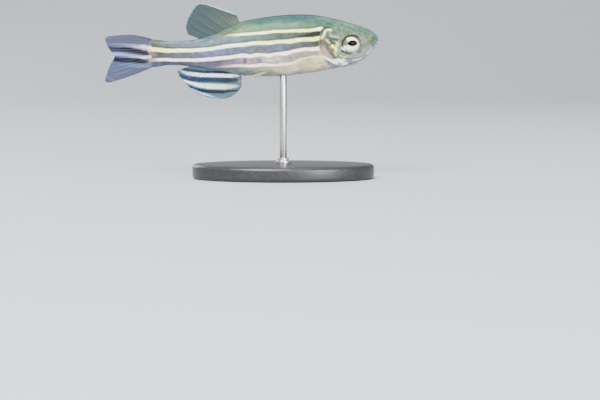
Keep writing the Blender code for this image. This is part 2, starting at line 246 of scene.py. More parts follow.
def finishPiece(obj, material, nodes=(), sharpOver=None):
    obj.data.materials.clear()
    obj.data.materials.append(material)
    obj.data.shade_smooth()
    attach(obj, "root")
    if nodes:
        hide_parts(*nodes)
    if sharpOver:
        obj.data.set_sharp_from_angle(angle=math.radians(sharpOver))


# Node helpers for the finishes

def tone(red, green, blue):
    # a screen colour as the linear one that the shaders use
    return (
        *(((c + 0.055) / 1.055) ** 2.4 if c > 0.04045 else c / 12.92 for c in (red, green, blue)),
        1,
    )


class Finish:
    def __init__(self, name):
        self.material = bpy.data.materials.new(name)
        self.material.use_nodes = True
        self.tree = self.material.node_tree
        self.shader = self.tree.nodes["Principled BSDF"]

    def node(self, kind, **settings):
        made = self.tree.nodes.new(kind)
        for key, value in settings.items():
            setattr(made, key, value)
        return made

    def link(self, source, target):
        # an output is linked to the socket, while a number, vector or screen colour is set on it
        if not isinstance(source, (int, float, tuple)):
            self.tree.links.new(source, target)
        elif target.type == "RGBA":
            target.default_value = tone(*source)
        else:
            target.default_value = source

    def surface(self, sockets):
        for name, value in sockets.items():
            self.link(value, self.shader.inputs[name])
        return self.material

    def bump(self, height, strength, depth):
        made = self.node("ShaderNodeBump")
        for name, value in (("Strength", strength), ("Distance", depth), ("Height", height)):
            self.link(value, made.inputs[name])
        return made.outputs[0]

    def math(self, operation, first, second=0.0):
        made = self.node("ShaderNodeMath", operation=operation)
        self.link(first, made.inputs[0])
        self.link(second, made.inputs[1])
        return made.outputs[0]

    def plus(self, first, second):
        return self.math("ADD", first, second)

    def minus(self, first, second):
        return self.math("SUBTRACT", first, second)

    def times(self, first, second):
        return self.math("MULTIPLY", first, second)

    def sway(self, noise, strength):
        # a noise as a shift to either side
        return self.times(self.minus(noise, 0.5), strength)

    def ramp(self, value, low, high, start=0.0, end=1.0):
        made = self.node("ShaderNodeMapRange", interpolation_type="SMOOTHSTEP")
        for source, target in zip((value, low, high, start, end), made.inputs):
            self.link(source, target)
        return made.outputs[0]

    def fall(self, value, low, high):
        return self.ramp(value, low, high, 1.0, 0.0)

    def mix(self, share, below, above):
        made = self.node("ShaderNodeMix", data_type="RGBA")
        for source, number in ((share, 0), (below, 6), (above, 7)):
            self.link(source, made.inputs[number])
        return made.outputs[2]

    def attribute(self, name):
        return self.node("ShaderNodeAttribute", attribute_name=name).outputs["Fac"]

    def fishPlace(self):
        # Object coordinates as millimetres behind the snout and over the axis
        scaled = self.node("ShaderNodeVectorMath", operation="MULTIPLY_ADD")
        self.link(self.node("ShaderNodeTexCoord").outputs["Object"], scaled.inputs[0])
        scaled.inputs[1].default_value = (-1000, 1000, 1000)
        scaled.inputs[2].default_value = (fish["snoutAhead"], 0, -fish["axisHeight"])
        parts = self.node("ShaderNodeSeparateXYZ")
        self.link(scaled.outputs[0], parts.inputs[0])
        self.inMillimetres = scaled.outputs[0]
        self.behind, self.height = parts.outputs[0], parts.outputs[2]

    def noise(self, size, detail=2.0, stretch=(1, 1, 1)):
        # size is in millimetres
        scaled = self.node("ShaderNodeVectorMath", operation="MULTIPLY")
        self.link(self.inMillimetres, scaled.inputs[0])
        scaled.inputs[1].default_value = stretch
        made = self.node("ShaderNodeTexNoise")
        for name, value in (("Vector", scaled.outputs[0]), ("Scale", 1 / size), ("Detail", detail)):
            self.link(value, made.inputs[name])
        return made.outputs["Fac"]

    def lineHeight(self, points, wobble):
        # the height of a drawn line at this distance behind the snout, with points front to rear
        longest, tallest = fish["mapLength"], fish["mapHeight"]
        curve = self.node("ShaderNodeFloatCurve")
        line = curve.mapping.curves[0]
        for i, (behind, height) in enumerate(points):
            at = (behind / longest, (height + tallest / 2) / tallest)
            if i < 2:
                line.points[i].location = at
            else:
                line.points.new(*at)
        for point in line.points:
            point.handle_type = "AUTO"
        curve.mapping.update()
        self.link(self.math("DIVIDE", self.behind, longest), curve.inputs["Value"])
        height = self.math("MULTIPLY_ADD", curve.outputs[0], tallest)
        height.node.inputs[2].default_value = -tallest / 2
        return self.plus(height, wobble)

    def shade(self, colour, strength):
        # the same colour, darker or paler
        made = self.node("ShaderNodeVectorMath", operation="SCALE")
        self.link(tone(*colour)[:3] if isinstance(colour, tuple) else colour, made.inputs[0])
        self.link(strength, made.inputs["Scale"])
        return made.outputs[0]

    def fromLine(self, line, wobble=0.0, ragged=0.0):
        # height over a drawn line, and distance outside its edge
        # each point of the line gives its distance behind the snout, height and half width
        middle = self.lineHeight([(b, h) for b, h, _ in line], wobble)
        width = self.lineHeight([(b, w) for b, _, w in line], ragged)
        over = self.minus(self.height, middle)
        return over, self.minus(self.math("ABSOLUTE", over), width)

    def band(self, line, soft, wobble=0.0, ragged=0.0):
        return self.fall(self.fromLine(line, wobble, ragged)[1], -soft, soft)

    def stretch(self, start, end, soft):
        # 1 between two distances behind the snout
        rise = self.ramp(self.behind, start - soft, start + soft)
        return self.times(rise, self.fall(self.behind, end - soft, end + soft))

    def alongBody(self, stops):
        # a colour that changes with the distance behind the snout
        longest = fish["mapLength"]
        ramp = self.node("ShaderNodeValToRGB")
        self.link(self.math("DIVIDE", self.behind, longest), ramp.inputs[0])
        elements = ramp.color_ramp.elements
        for i, (behind, *colour) in enumerate(stops):
            element = elements[i] if i < 2 else elements.new(behind / longest)
            element.position = behind / longest
            element.color = tone(*colour)
        return ramp.outputs[0]

    def spot(self, behind, height, size, soft=0.4):
        # 1 inside an oval on the side of the fish
        across = self.math("DIVIDE", self.minus(self.behind, behind), size[0])
        up = self.math("DIVIDE", self.minus(self.height, height), size[1])
        ring = self.plus(self.times(across, across), self.times(up, up))
        return self.fall(ring, 1 - soft, 1 + soft)


# The skin's finish: cream lines between blue-grey bands, under an olive back and over a pale belly

skinLook = {
    "roughness": 0.40,
    "roughnessSpread": 0.08,
    "specular": 0.13,
    "metallic": 0.03,
    "silverMetallic": 0.2,
    "coat": 0.07,
    "coatRoughness": 0.20,
    "bump": 0.25,
    "bumpDepth": 0.00003,
    "lineSoftness": 0.075,
    "zoneSoftness": 0.08,
    "lineWander": 0.22,
    "lineRaggedness": 0.16,
    "markRaggedness": (1.5, 0.5),  # by the fine noise and by the mottle
    # sizes of the noises in millimetres
    "wanderSize": 1.3,
    "fineSize": 0.20,
    "mottleSize": 0.60,
    "speckleSize": 0.085,
    "patchSize": 0.9,
    "blotchSize": 0.34,
    "scaleEdgeColour": (0.16, 0.20, 0.18),
    "dotColour": (0.13, 0.16, 0.17),
    "headDotColour": (0.13, 0.16, 0.15),
    "marginSoftness": 0.12,
    "endSoftness": (0.12, 0.8),  # of the cream lines' ends and of the margins' ends
    "fadeOut": 3.5,  # length over which a cream line fades to the rear
    "bandShade": 0.78,  # the tail fin's bands are darker where they begin on the flesh
}
# where a change starts and ends, and the values there if they aren't 0 and 1
skinRamps = {
    # by the height over the first cream line
    "backMiddle": (0.2, 0.9),
    "backTop": (1.0, 2.1),
    "backEdge": (-0.1, 0.1),
    "scaleEdges": (-0.4, 0.5, 0.05, 0.20),
    "dotsDown": (0.3, -2.0),
    "bellyEdge": (-0.15, 0.65),
    # by the distance from the edge of a cream line
    "rimStart": (0.02, 0.10),
    "rimEnd": (0.12, 0.30),
    "rimAbove": (0.0, 0.1),
    "fringe": (-0.06, 0.14),
    # by the distance behind the snout
    "tailRoot": (33.4, 33.75, 0.0, 0.6),
    "tailBands": (33.3, 33.75),
    "snout": (0.6, 3.4),
    # by the height over the fish's axis
    "faceMiddle": (1.2, 2.4),
    "faceTop": (2.6, 3.7),
    "cheek": (-2.2, 0.0),
    # by the noises
    "mottle": (0.32, 0.68, 0.54, 0.88),
    "speckle": (0.36, 0.64, 0.88, 1.08),
    "dots": (0.58, 0.72, 0.0, 0.40),
    "spots": (0.25, 0.6, 0.6, 1.0),
    "lineBreaks": (0.35, 0.65, 0.35, 0.85),
    "linePaint": (0.35, 0.75, 1.03, 0.82),
    "faceMottle": (0.30, 0.70, 0.46, 0.88),
    "faceBlotches": (0.32, 0.68, 0.74, 1.30),
    "faceGrain": (0.30, 0.72, 0.86, 1.20),
    "faceOlive": (0.45, 0.70, 0.0, 0.45),
    "headDots": (0.60, 0.74, 0.0, 0.30),
    "markGrain": (0.32, 0.70, 1.08, 0.80),
    "markEdge": (0.06, 0.95, 0.0),
}
# colours of each zone: behind the snout, then red, green and blue
skinZones = {
    "backLow": (
        (8.5, 0.24, 0.30, 0.22), (11.5, 0.29, 0.38, 0.28), (14.5, 0.31, 0.40, 0.28),
        (17.4, 0.37, 0.43, 0.29), (20.4, 0.44, 0.45, 0.28), (22.6, 0.35, 0.42, 0.29),
        (25.0, 0.36, 0.48, 0.39), (28.0, 0.35, 0.45, 0.45),
    ),
    "backMiddle": (
        (5.0, 0.31, 0.43, 0.35), (8.0, 0.28, 0.39, 0.31), (11.5, 0.31, 0.46, 0.38),
        (17.4, 0.27, 0.42, 0.31), (20.4, 0.33, 0.44, 0.32), (26.0, 0.36, 0.46, 0.47),
    ),
    "backTop": (
        (3.0, 0.27, 0.39, 0.37), (7.0, 0.24, 0.38, 0.35), (9.0, 0.18, 0.34, 0.33), (11.5, 0.10, 0.28, 0.29),
        (17.4, 0.16, 0.33, 0.31), (20.4, 0.28, 0.37, 0.29), (26.0, 0.30, 0.41, 0.43),
    ),
    "firstBand": (
        (8.6, 0.13, 0.12, 0.11), (9.8, 0.18, 0.18, 0.18), (11.5, 0.27, 0.30, 0.28),
        (14.5, 0.29, 0.34, 0.28), (17.4, 0.35, 0.42, 0.38), (20.4, 0.37, 0.44, 0.45),
        (25.0, 0.32, 0.41, 0.44), (28.5, 0.27, 0.34, 0.36), (31.0, 0.21, 0.26, 0.26),
        (32.5, 0.27, 0.28, 0.25),
    ),
    "secondBand": (
        (8.6, 0.17, 0.20, 0.18), (9.5, 0.25, 0.28, 0.26), (11.5, 0.30, 0.33, 0.32),
        (14.5, 0.36, 0.40, 0.46), (17.4, 0.39, 0.41, 0.42), (20.4, 0.37, 0.41, 0.49),
        (24.0, 0.39, 0.42, 0.56), (27.0, 0.35, 0.38, 0.47), (30.0, 0.32, 0.34, 0.40),
        (32.5, 0.30, 0.30, 0.30),
    ),
    "thirdBand": (
        (9.6, 0.62, 0.55, 0.50), (13.0, 0.58, 0.54, 0.53), (15.2, 0.79, 0.75, 0.70),
        (17.4, 0.68, 0.63, 0.63), (19.4, 0.57, 0.53, 0.57), (21.0, 0.46, 0.43, 0.49),
        (24.0, 0.38, 0.36, 0.45), (27.0, 0.33, 0.36, 0.43), (32.0, 0.27, 0.30, 0.38),
    ),
    "belly": (
        (6.0, 0.80, 0.77, 0.62), (9.0, 0.86, 0.81, 0.62), (13.0, 0.80, 0.73, 0.58),
        (16.0, 0.66, 0.63, 0.54), (19.0, 0.52, 0.52, 0.48), (22.0, 0.43, 0.47, 0.50),
        (33.0, 0.29, 0.35, 0.43),
    ),
    "bellyEdge": (
        (6.0, 0.52, 0.61, 0.62), (12.0, 0.56, 0.65, 0.66), (16.0, 0.52, 0.61, 0.62),
        (22.0, 0.43, 0.50, 0.55), (33.0, 0.27, 0.32, 0.42),
    ),
}
# the height where the belly's greener edge begins
bellyLine = (
    (0.0, -1.0), (6.0, -2.75), (8.6, -3.25), (11.5, -3.60), (14.5, -3.85), (17.5, -3.85), (20.4, -3.60),
    (23.4, -3.25), (26.4, -2.85), (33.0, -2.60), (42, -2.6),
)
# cream lines: where each starts and ends, its colours, its height and half width along the body,
# the colour of its fringe and the dark colour over its upper edge
creamLines = {
    "first": (
        7.9, 23.4,
        (
            (8.5, 0.97, 0.97, 0.84), (10.0, 0.96, 0.97, 0.58), (14.0, 0.96, 0.97, 0.68),
            (17.4, 0.96, 0.97, 0.82), (20.0, 0.94, 0.95, 0.74), (22.0, 0.74, 0.84, 0.50),
            (24.0, 0.47, 0.58, 0.45),
        ),
        (
            (0.0, 3.1, -0.2), (8.05, 2.52, -0.10), (8.3, 2.49, 0.25), (8.9, 2.43, 0.23), (9.8, 2.27, 0.22),
            (11.5, 2.21, 0.21), (13.4, 2.15, 0.20), (15.2, 2.11, 0.19), (16.6, 1.90, 0.20),
            (18.2, 1.80, 0.20), (19.7, 1.71, 0.18), (20.8, 1.61, 0.17), (23.0, 1.46, 0.13), (42, 0.9, 0.1),
        ),
        (0.56, 0.66, 0.30), (0.14, 0.19, 0.11),
    ),
    "second": (
        8.1, 41.0,
        (
            (8.5, 0.97, 0.97, 0.42), (10.0, 0.97, 0.97, 0.50), (14.5, 0.97, 0.97, 0.66),
            (20.0, 0.97, 0.97, 0.90), (26.0, 0.96, 0.97, 0.84), (31.0, 0.96, 0.96, 0.70),
            (33.0, 0.94, 0.90, 0.54),
        ),
        (
            (0.0, 1.6, 0.2), (8.6, 1.12, 0.27), (9.5, 0.97, 0.29), (10.4, 0.95, 0.26), (11.3, 0.90, 0.25),
            (12.2, 0.77, 0.25), (13.1, 0.63, 0.28), (14.0, 0.61, 0.24), (14.9, 0.57, 0.25),
            (15.8, 0.45, 0.27), (16.7, 0.41, 0.25), (17.6, 0.41, 0.25), (18.5, 0.34, 0.25),
            (20.4, 0.14, 0.26), (23.3, -0.23, 0.26), (25.7, -0.58, 0.26), (27.0, -0.67, 0.25),
            (29.2, -0.71, 0.26), (31.4, -0.68, 0.27), (32.9, -0.56, 0.31), (42, 0.2, 0.3),
        ),
        (0.66, 0.74, 0.30), (0.17, 0.16, 0.20),
    ),
    "third": (
        8.35, 41.0,
        (
            (8.6, 0.97, 0.93, 0.74), (11.0, 0.97, 0.95, 0.78), (15.0, 0.97, 0.96, 0.90),
            (20.0, 0.97, 0.96, 0.86), (26.0, 0.97, 0.96, 0.95), (31.0, 0.96, 0.95, 0.84),
            (32.4, 0.92, 0.88, 0.70), (33.2, 0.56, 0.50, 0.46),
        ),
        (
            (0.0, 0.3, 0.2), (8.9, -0.44, 0.27), (9.8, -0.52, 0.26), (10.7, -0.52, 0.24),
            (11.6, -0.66, 0.26), (12.5, -0.80, 0.23), (13.4, -1.08, 0.29), (14.3, -1.15, 0.26),
            (15.2, -1.19, 0.22), (16.1, -1.46, 0.29), (17.0, -1.32, 0.22), (17.9, -1.32, 0.25),
            (18.8, -1.50, 0.27), (19.7, -1.45, 0.27), (20.6, -1.52, 0.25), (23.3, -1.84, 0.26),
            (26.3, -2.07, 0.23), (29.2, -2.09, 0.21), (32.2, -2.06, 0.20), (42, -2.3, 0.2),
        ),
        (0.74, 0.56, 0.46), (0.25, 0.20, 0.30),
    ),
    "fourth": (
        9.4, 24.5,
        (
            (10.0, 0.92, 0.87, 0.58), (13.0, 0.97, 0.95, 0.78), (16.0, 0.97, 0.96, 0.92),
            (19.0, 0.97, 0.95, 0.90), (23.0, 0.66, 0.70, 0.70),
        ),
        (
            (0.0, -0.5, 0.1), (9.7, -1.60, 0.13), (10.6, -1.85, 0.16), (11.5, -2.08, 0.18),
            (12.4, -2.45, 0.19), (13.3, -2.65, 0.20), (14.2, -2.69, 0.22), (15.1, -2.84, 0.19),
            (16.0, -2.84, 0.22), (16.9, -2.83, 0.23), (17.8, -2.92, 0.24), (18.7, -2.98, 0.22),
            (20.4, -2.93, 0.20), (24.0, -3.08, 0.12), (42, -3.4, 0.1),
        ),
        (0.78, 0.62, 0.46), (0.42, 0.33, 0.36),
    ),
}
# thin margins on the side: colour, strength, start and end, and height and half width along the body
darkMargins = (
    (
        (0.09, 0.08, 0.08), 0.9, 8.4, 12.0,
        (
            (0.0, 2.2, 0.2), (8.4, 1.82, 0.32), (10.0, 1.56, 0.21), (11.5, 1.35, 0.16), (14.5, 1.03, 0.10),
            (42, 0.5, 0.1),
        ),
    ),
    (
        (0.20, 0.23, 0.28), 0.45, 21.5, 33.0,
        (
            (0.0, -2.5, 0.1), (21.5, -2.22, 0.08), (26.3, -2.46, 0.08), (29.2, -2.48, 0.08),
            (32.0, -2.46, 0.10), (42, -2.6, 0.1),
        ),
    ),
    (
        (0.46, 0.58, 0.62), 0.75, 25.6, 31.8,
        (
            (0.0, 2.0, 0.1), (25.5, 0.92, 0.10), (27.0, 0.66, 0.12), (29.0, 0.50, 0.13), (31.0, 0.48, 0.12),
            (32.5, 0.55, 0.1), (42, 0.6, 0.1),
        ),
    ),
)
# colour, place, half sizes and strength
sideSpots = (
    ((0.36, 0.31, 0.42), (17.5, -2.12), (0.46, 0.42), 0.75),
    ((0.28, 0.20, 0.26), (19.6, -2.16), (0.26, 0.40), 0.75),
    ((0.50, 0.44, 0.42), (33.3, -1.25), (0.50, 0.30), 0.6),
    # a painted highlight in pale cream low on the belly
    ((0.94, 0.88, 0.64), (9.5, -2.95), (0.85, 0.20), 0.6),
)
headTones = {
    "face": (0.42, 0.46, 0.39),
    "snout": (0.34, 0.41, 0.29),
    "olive": (0.34, 0.38, 0.27),
    "cheek": (0.50, 0.52, 0.48),
    "throat": (0.62, 0.66, 0.70),
    # dark colour of the painted shade in the head's creases, pits and grooves
    "creaseShade": (0.13, 0.13, 0.10),
}
# marks on the head in painting order: name, colour and strength
markTones = (
    # a painted highlight along the top of the head
    ("topHighlight", (0.34, 0.54, 0.50), 0.60),
    ("deep", (0.25, 0.36, 0.42), 0.90),
    ("tan", (0.29, 0.27, 0.20), 0.90),
    ("moss", (0.25, 0.31, 0.21), 0.80),
    ("green", (0.15, 0.21, 0.14), 0.95),
    ("umber", (0.30, 0.23, 0.17), 0.90),
    ("rose", (0.60, 0.49, 0.42), 0.85),
    ("shadow", (0.13, 0.13, 0.11), 0.95),
    # a painted shadow over the top of the eye
    ("browShadow", (0.10, 0.11, 0.07), 1.00),
    ("pale", (0.54, 0.57, 0.54), 0.80),
    ("lavender", (0.48, 0.52, 0.61), 0.85),
    ("sage", (0.42, 0.50, 0.36), 0.85),
    ("mist", (0.48, 0.59, 0.56), 0.90),
    ("cream", (0.78, 0.76, 0.50), 0.90),
    ("silver", (1.00, 1.00, 0.99), 1.00),
    ("bright", (1.00, 1.00, 0.56), 0.95),
)
tailRoot = (0.46, 0.42, 0.46)
# bands on the fins: colours, softness, opacity, and height and half width at places behind the snout
analBands = (
    (
        ((20, 0.12, 0.13, 0.18), (30, 0.13, 0.17, 0.26)), 0.10, 0.9,
        (
            (0, -3.8, 0.2), (20.4, -4.00, 0.16), (23.6, -3.90, 0.22), (26.3, -3.80, 0.24),
            (29.0, -3.40, 0.20), (42, -3.0, 0.1),
        ),
    ),
    (
        ((20, 0.80, 0.87, 0.90), (22, 0.87, 0.92, 0.92), (27, 0.84, 0.92, 0.96), (30, 0.56, 0.68, 0.84)),
        0.09, 1.0,
        (
            (0, -4.5, -0.3), (20.2, -4.42, -0.05), (20.8, -4.42, 0.16), (23.6, -4.36, 0.25),
            (26.3, -4.28, 0.25), (28.5, -3.98, 0.18), (29.7, -3.5, 0.02), (42, -3.2, 0.0),
        ),
    ),
    (
        ((20, 0.20, 0.26, 0.28), (22, 0.12, 0.16, 0.20), (24, 0.11, 0.17, 0.25), (30, 0.10, 0.16, 0.29)),
        0.11, 1.0,
        (
            (0, -5.0, -0.1), (20.4, -5.08, 0.10), (21.2, -5.08, 0.30), (24.0, -5.02, 0.34),
            (27.8, -4.86, 0.33), (29.5, -4.4, 0.22), (42, -3.5, 0.2),
        ),
    ),
    (
        (
            (20, 0.42, 0.58, 0.56), (21.5, 0.66, 0.75, 0.68), (23, 0.78, 0.86, 0.76),
            (26, 0.80, 0.90, 0.88), (29, 0.90, 0.95, 0.97),
        ),
        0.10, 1.0,
        (
            (0, -6.0, -0.4), (20.1, -5.90, -0.05), (21.0, -5.96, 0.20), (23.3, -6.02, 0.38),
            (26.3, -5.82, 0.32), (28.0, -5.40, 0.20), (29.2, -5.05, 0.06), (42, -4.0, 0.0),
        ),
    ),
    (
        ((20, 0.09, 0.18, 0.24), (23, 0.08, 0.13, 0.17), (30, 0.08, 0.14, 0.24)), 0.10, 1.0,
        (
            (0, -6.7, 0.1), (21.2, -6.62, 0.14), (23.4, -6.80, 0.26), (26.6, -6.50, 0.24),
            (28.4, -5.95, 0.16), (42, -4.6, 0.1),
        ),
    ),
    (
        (
            (20, 0.16, 0.32, 0.42), (22.0, 0.20, 0.36, 0.44), (23.5, 0.34, 0.50, 0.62),
            (25.4, 0.64, 0.78, 0.88), (28, 0.54, 0.68, 0.84),
        ),
        0.12, 0.9,
        (
            (0, -7.5, -0.2), (21.0, -7.10, -0.02), (22.2, -7.30, 0.06), (23.6, -7.62, 0.08),
            (25.2, -7.28, 0.16), (26.4, -6.92, 0.14), (27.6, -6.40, 0.06), (42, -5.0, -0.1),
        ),
    ),
)
caudalBands = (
    (
        ((33, 0.36, 0.34, 0.42), (36, 0.26, 0.27, 0.38), (40, 0.20, 0.22, 0.36)), 0.18, 0.72,
        ((0, 0.6, 0.3), (33.4, 0.62, 0.26), (36.6, 0.72, 0.30), (40.3, 0.80, 0.32), (42, 0.8, 0.3)),
    ),
    (
        (
            (33.4, 0.90, 0.84, 0.88), (34.8, 0.86, 0.80, 0.90), (35.6, 0.62, 0.58, 0.72),
            (37.5, 0.40, 0.42, 0.60), (40, 0.28, 0.30, 0.50),
        ),
        0.12, 0.92,
        (
            (0, -0.6, 0.3), (33.65, -0.34, 0.30), (34.4, -0.24, 0.34), (35.1, -0.16, 0.30),
            (36.6, 0.02, 0.22), (39.1, 0.15, 0.16), (42, 0.2, 0.1),
        ),
    ),
    (
        (
            (33.9, 0.20, 0.16, 0.20), (34.6, 0.15, 0.12, 0.15), (37, 0.11, 0.10, 0.16),
            (40, 0.09, 0.11, 0.24),
        ),
        0.10, 1.0,
        (
            (0, -1.4, -0.2), (33.7, -1.26, -0.02), (34.1, -1.18, 0.20), (34.9, -1.00, 0.30),
            (36.6, -0.66, 0.34), (39.1, -0.52, 0.34), (42, -0.5, 0.3),
        ),
    ),
    (
        (
            (33.6, 0.84, 0.76, 0.74), (34.6, 0.84, 0.77, 0.80), (35.6, 0.66, 0.62, 0.74),
            (37.5, 0.44, 0.48, 0.66), (39.0, 0.46, 0.54, 0.84), (40, 0.40, 0.48, 0.80),
        ),
        0.11, 0.95,
        (
            (0, -1.6, 0.2), (33.6, -1.62, 0.20), (34.4, -1.72, 0.24), (35.9, -1.60, 0.24),
            (37.3, -1.36, 0.26), (39.1, -1.20, 0.22), (42, -1.1, 0.2),
        ),
    ),
    (
        ((34.2, 0.16, 0.18, 0.20), (35.2, 0.08, 0.10, 0.13), (40, 0.06, 0.08, 0.20)), 0.10, 1.0,
        (
            (0, -2.4, -0.2), (33.9, -2.40, -0.02), (34.4, -2.32, 0.22), (35.1, -2.24, 0.32),
            (36.6, -2.16, 0.34), (38.1, -2.10, 0.34), (39.3, -1.92, 0.30), (42, -1.8, 0.3),
        ),
    ),
    (
        ((33, 0.40, 0.44, 0.54), (35, 0.38, 0.44, 0.58), (37, 0.28, 0.36, 0.54), (40, 0.18, 0.28, 0.50)),
        0.13, 0.85,
        (
            (0, -3.1, 0.2), (32.9, -3.04, 0.20), (34.4, -3.00, 0.22), (35.9, -2.98, 0.24),
            (37.3, -2.86, 0.22), (39.1, -2.76, 0.18), (42, -2.5, 0.1),
        ),
    ),
    (
        ((36, 0.20, 0.28, 0.38), (39, 0.34, 0.46, 0.58), (41, 0.32, 0.44, 0.56)), 0.20, 0.45,
        (
            (0, -4, -0.3), (35.5, -4.6, -0.2), (37.0, -5.20, -0.02), (38.4, -5.30, 0.04),
            (39.4, -5.05, 0.06), (40.2, -4.60, 0.02), (42, -4.0, -0.1),
        ),
    ),
)


def skinFinish():
    look, ramps = skinLook, skinRamps
    finish = Finish("striped skin")
    finish.fishPlace()
    mix, ramp, fall, shade = finish.mix, finish.ramp, finish.fall, finish.shade
    plus, minus, times = finish.plus, finish.minus, finish.times
    behind, height = finish.behind, finish.height
    wobble = finish.sway(finish.noise(look["wanderSize"], 2.0, (0.5, 1, 1)), look["lineWander"])
    fine = finish.noise(look["fineSize"], 3.0)
    ragged = finish.sway(fine, look["lineRaggedness"])
    mottle = finish.noise(look["mottleSize"], 3.0, (0.6, 1, 1))
    speckle = finish.noise(look["speckleSize"])
    zones = {name: finish.alongBody(stops) for name, stops in skinZones.items()}
    lines = {
        name: finish.lineHeight([(b, h) for b, h, _ in line[3]], wobble)
        for name, line in creamLines.items()
    }
    overFirst = minus(height, lines["first"])
    underLast = minus(lines["fourth"], height)

    # the bands fill the room between the lines, from the back down
    back = mix(ramp(overFirst, *ramps["backMiddle"]), zones["backLow"], zones["backMiddle"])
    back = mix(ramp(overFirst, *ramps["backTop"]), back, zones["backTop"])
    colour = mix(ramp(overFirst, *ramps["backEdge"]), zones["firstBand"], back)
    soft = look["zoneSoftness"]
    for line, zone in (("second", "secondBand"), ("third", "thirdBand"), ("fourth", "belly")):
        colour = mix(ramp(minus(lines[line], height), -soft, soft), colour, zones[zone])
    low = minus(finish.lineHeight(bellyLine, wobble), height)
    colour = mix(ramp(low, *ramps["bellyEdge"]), colour, zones["bellyEdge"])
    lineEnd, marginEnd = look["endSoftness"]
    for paint, strength, start, end, line in darkMargins:
        mask = finish.band(line, look["marginSoftness"], wobble, ragged)
        mask = times(mask, finish.stretch(start, end, marginEnd))
        colour = mix(times(mask, strength), colour, paint)
    for paint, spot, size, strength in sideSpots:
        patchy = times(finish.spot(*spot, size), ramp(fine, *ramps["spots"]))
        colour = mix(times(patchy, strength), colour, paint)
    colour = shade(colour, ramp(mottle, *ramps["mottle"]))

    # each cream line: its dark upper rim, its fringe, then its own paint
    soft = look["lineSoftness"]
    for start, end, stops, line, fringe, rim in creamLines.values():
        over, outside = finish.fromLine(line, wobble, ragged)
        here = times(finish.stretch(start, end, lineEnd), fall(behind, end - look["fadeOut"], end))
        broken = times(here, ramp(fine, *ramps["lineBreaks"]))
        above = times(ramp(outside, *ramps["rimStart"]), fall(outside, *ramps["rimEnd"]))
        above = times(above, ramp(over, *ramps["rimAbove"]))
        colour = mix(times(above, broken), colour, rim)
        colour = mix(times(fall(outside, *ramps["fringe"]), broken), colour, fringe)
        paint = shade(finish.alongBody(stops), ramp(fine, *ramps["linePaint"]))
        inside = fall(outside, -soft - 0.02, soft - 0.02)
        colour = mix(times(inside, here), colour, paint)

    # the tail fin's bands begin on the flesh
    colour = mix(ramp(behind, *ramps["tailRoot"]), colour, tailRoot)
    for stops, soft, opacity, line in caudalBands:
        mask = times(finish.band(line, soft, 0.0, ragged), ramp(behind, *ramps["tailBands"]))
        colour = mix(mask, colour, shade(finish.alongBody(stops), look["bandShade"]))

    # fine pigment dots over the upper side, and darker free edges of the scales
    dots = times(ramp(speckle, *ramps["dots"]), ramp(underLast, *ramps["dotsDown"]))
    colour = mix(dots, colour, look["dotColour"])
    edge = times(finish.attribute("scaleEdge"), ramp(overFirst, *ramps["scaleEdges"]))
    colour = mix(edge, colour, look["scaleEdgeColour"])

    # the head, by the marks that the skin carries, each with a ragged edge
    face = mix(ramp(height, *ramps["faceMiddle"]), headTones["face"], zones["backMiddle"])
    face = mix(ramp(height, *ramps["faceTop"]), face, zones["backTop"])
    patches = finish.noise(look["patchSize"], 3.0)
    for mask, name in (
        (fall(height, *ramps["cheek"]), "cheek"),
        (fall(behind, *ramps["snout"]), "snout"),
        (finish.attribute("throatMark"), "throat"),
        (ramp(patches, *ramps["faceOlive"]), "olive"),
    ):
        face = mix(mask, face, headTones[name])
    for strength in (
        ramp(mottle, *ramps["faceMottle"]),
        ramp(finish.noise(look["blotchSize"]), *ramps["faceBlotches"]),
        ramp(fine, *ramps["faceGrain"]),
    ):
        face = shade(face, strength)
    face = mix(ramp(speckle, *ramps["headDots"]), face, look["headDotColour"])
    colour = mix(finish.attribute("headMark"), colour, face)
    byFine, byMottle = look["markRaggedness"]
    torn = plus(finish.sway(fine, byFine), finish.sway(mottle, byMottle))
    grain = ramp(fine, *ramps["markGrain"])
    for name, paint, strength in markTones:
        mark = times(finish.attribute(name + "Mark"), plus(torn, 1.0))
        colour = mix(ramp(mark, *ramps["markEdge"], strength), colour, shade(paint, grain))
    # painted shade in the head's creases, pits and grooves
    colour = mix(finish.attribute("creaseShadeMark"), colour, headTones["creaseShade"])
    colour = shade(colour, ramp(speckle, *ramps["speckle"]))

    rough, spread = look["roughness"], look["roughnessSpread"]
    gleam = times(finish.attribute("silverMark"), look["silverMetallic"])
    return finish.surface({
        "Base Color": colour,
        "Metallic": plus(look["metallic"], gleam),
        "Roughness": ramp(fine, 0.3, 0.7, rough - spread, rough + spread),
        "Specular IOR Level": look["specular"],
        "Coat Weight": look["coat"],
        "Coat Roughness": look["coatRoughness"],
        "Normal": finish.bump(fine, look["bump"], look["bumpDepth"]),
    })


# The skin: one closed surface over head, trunk, tail and gill covers

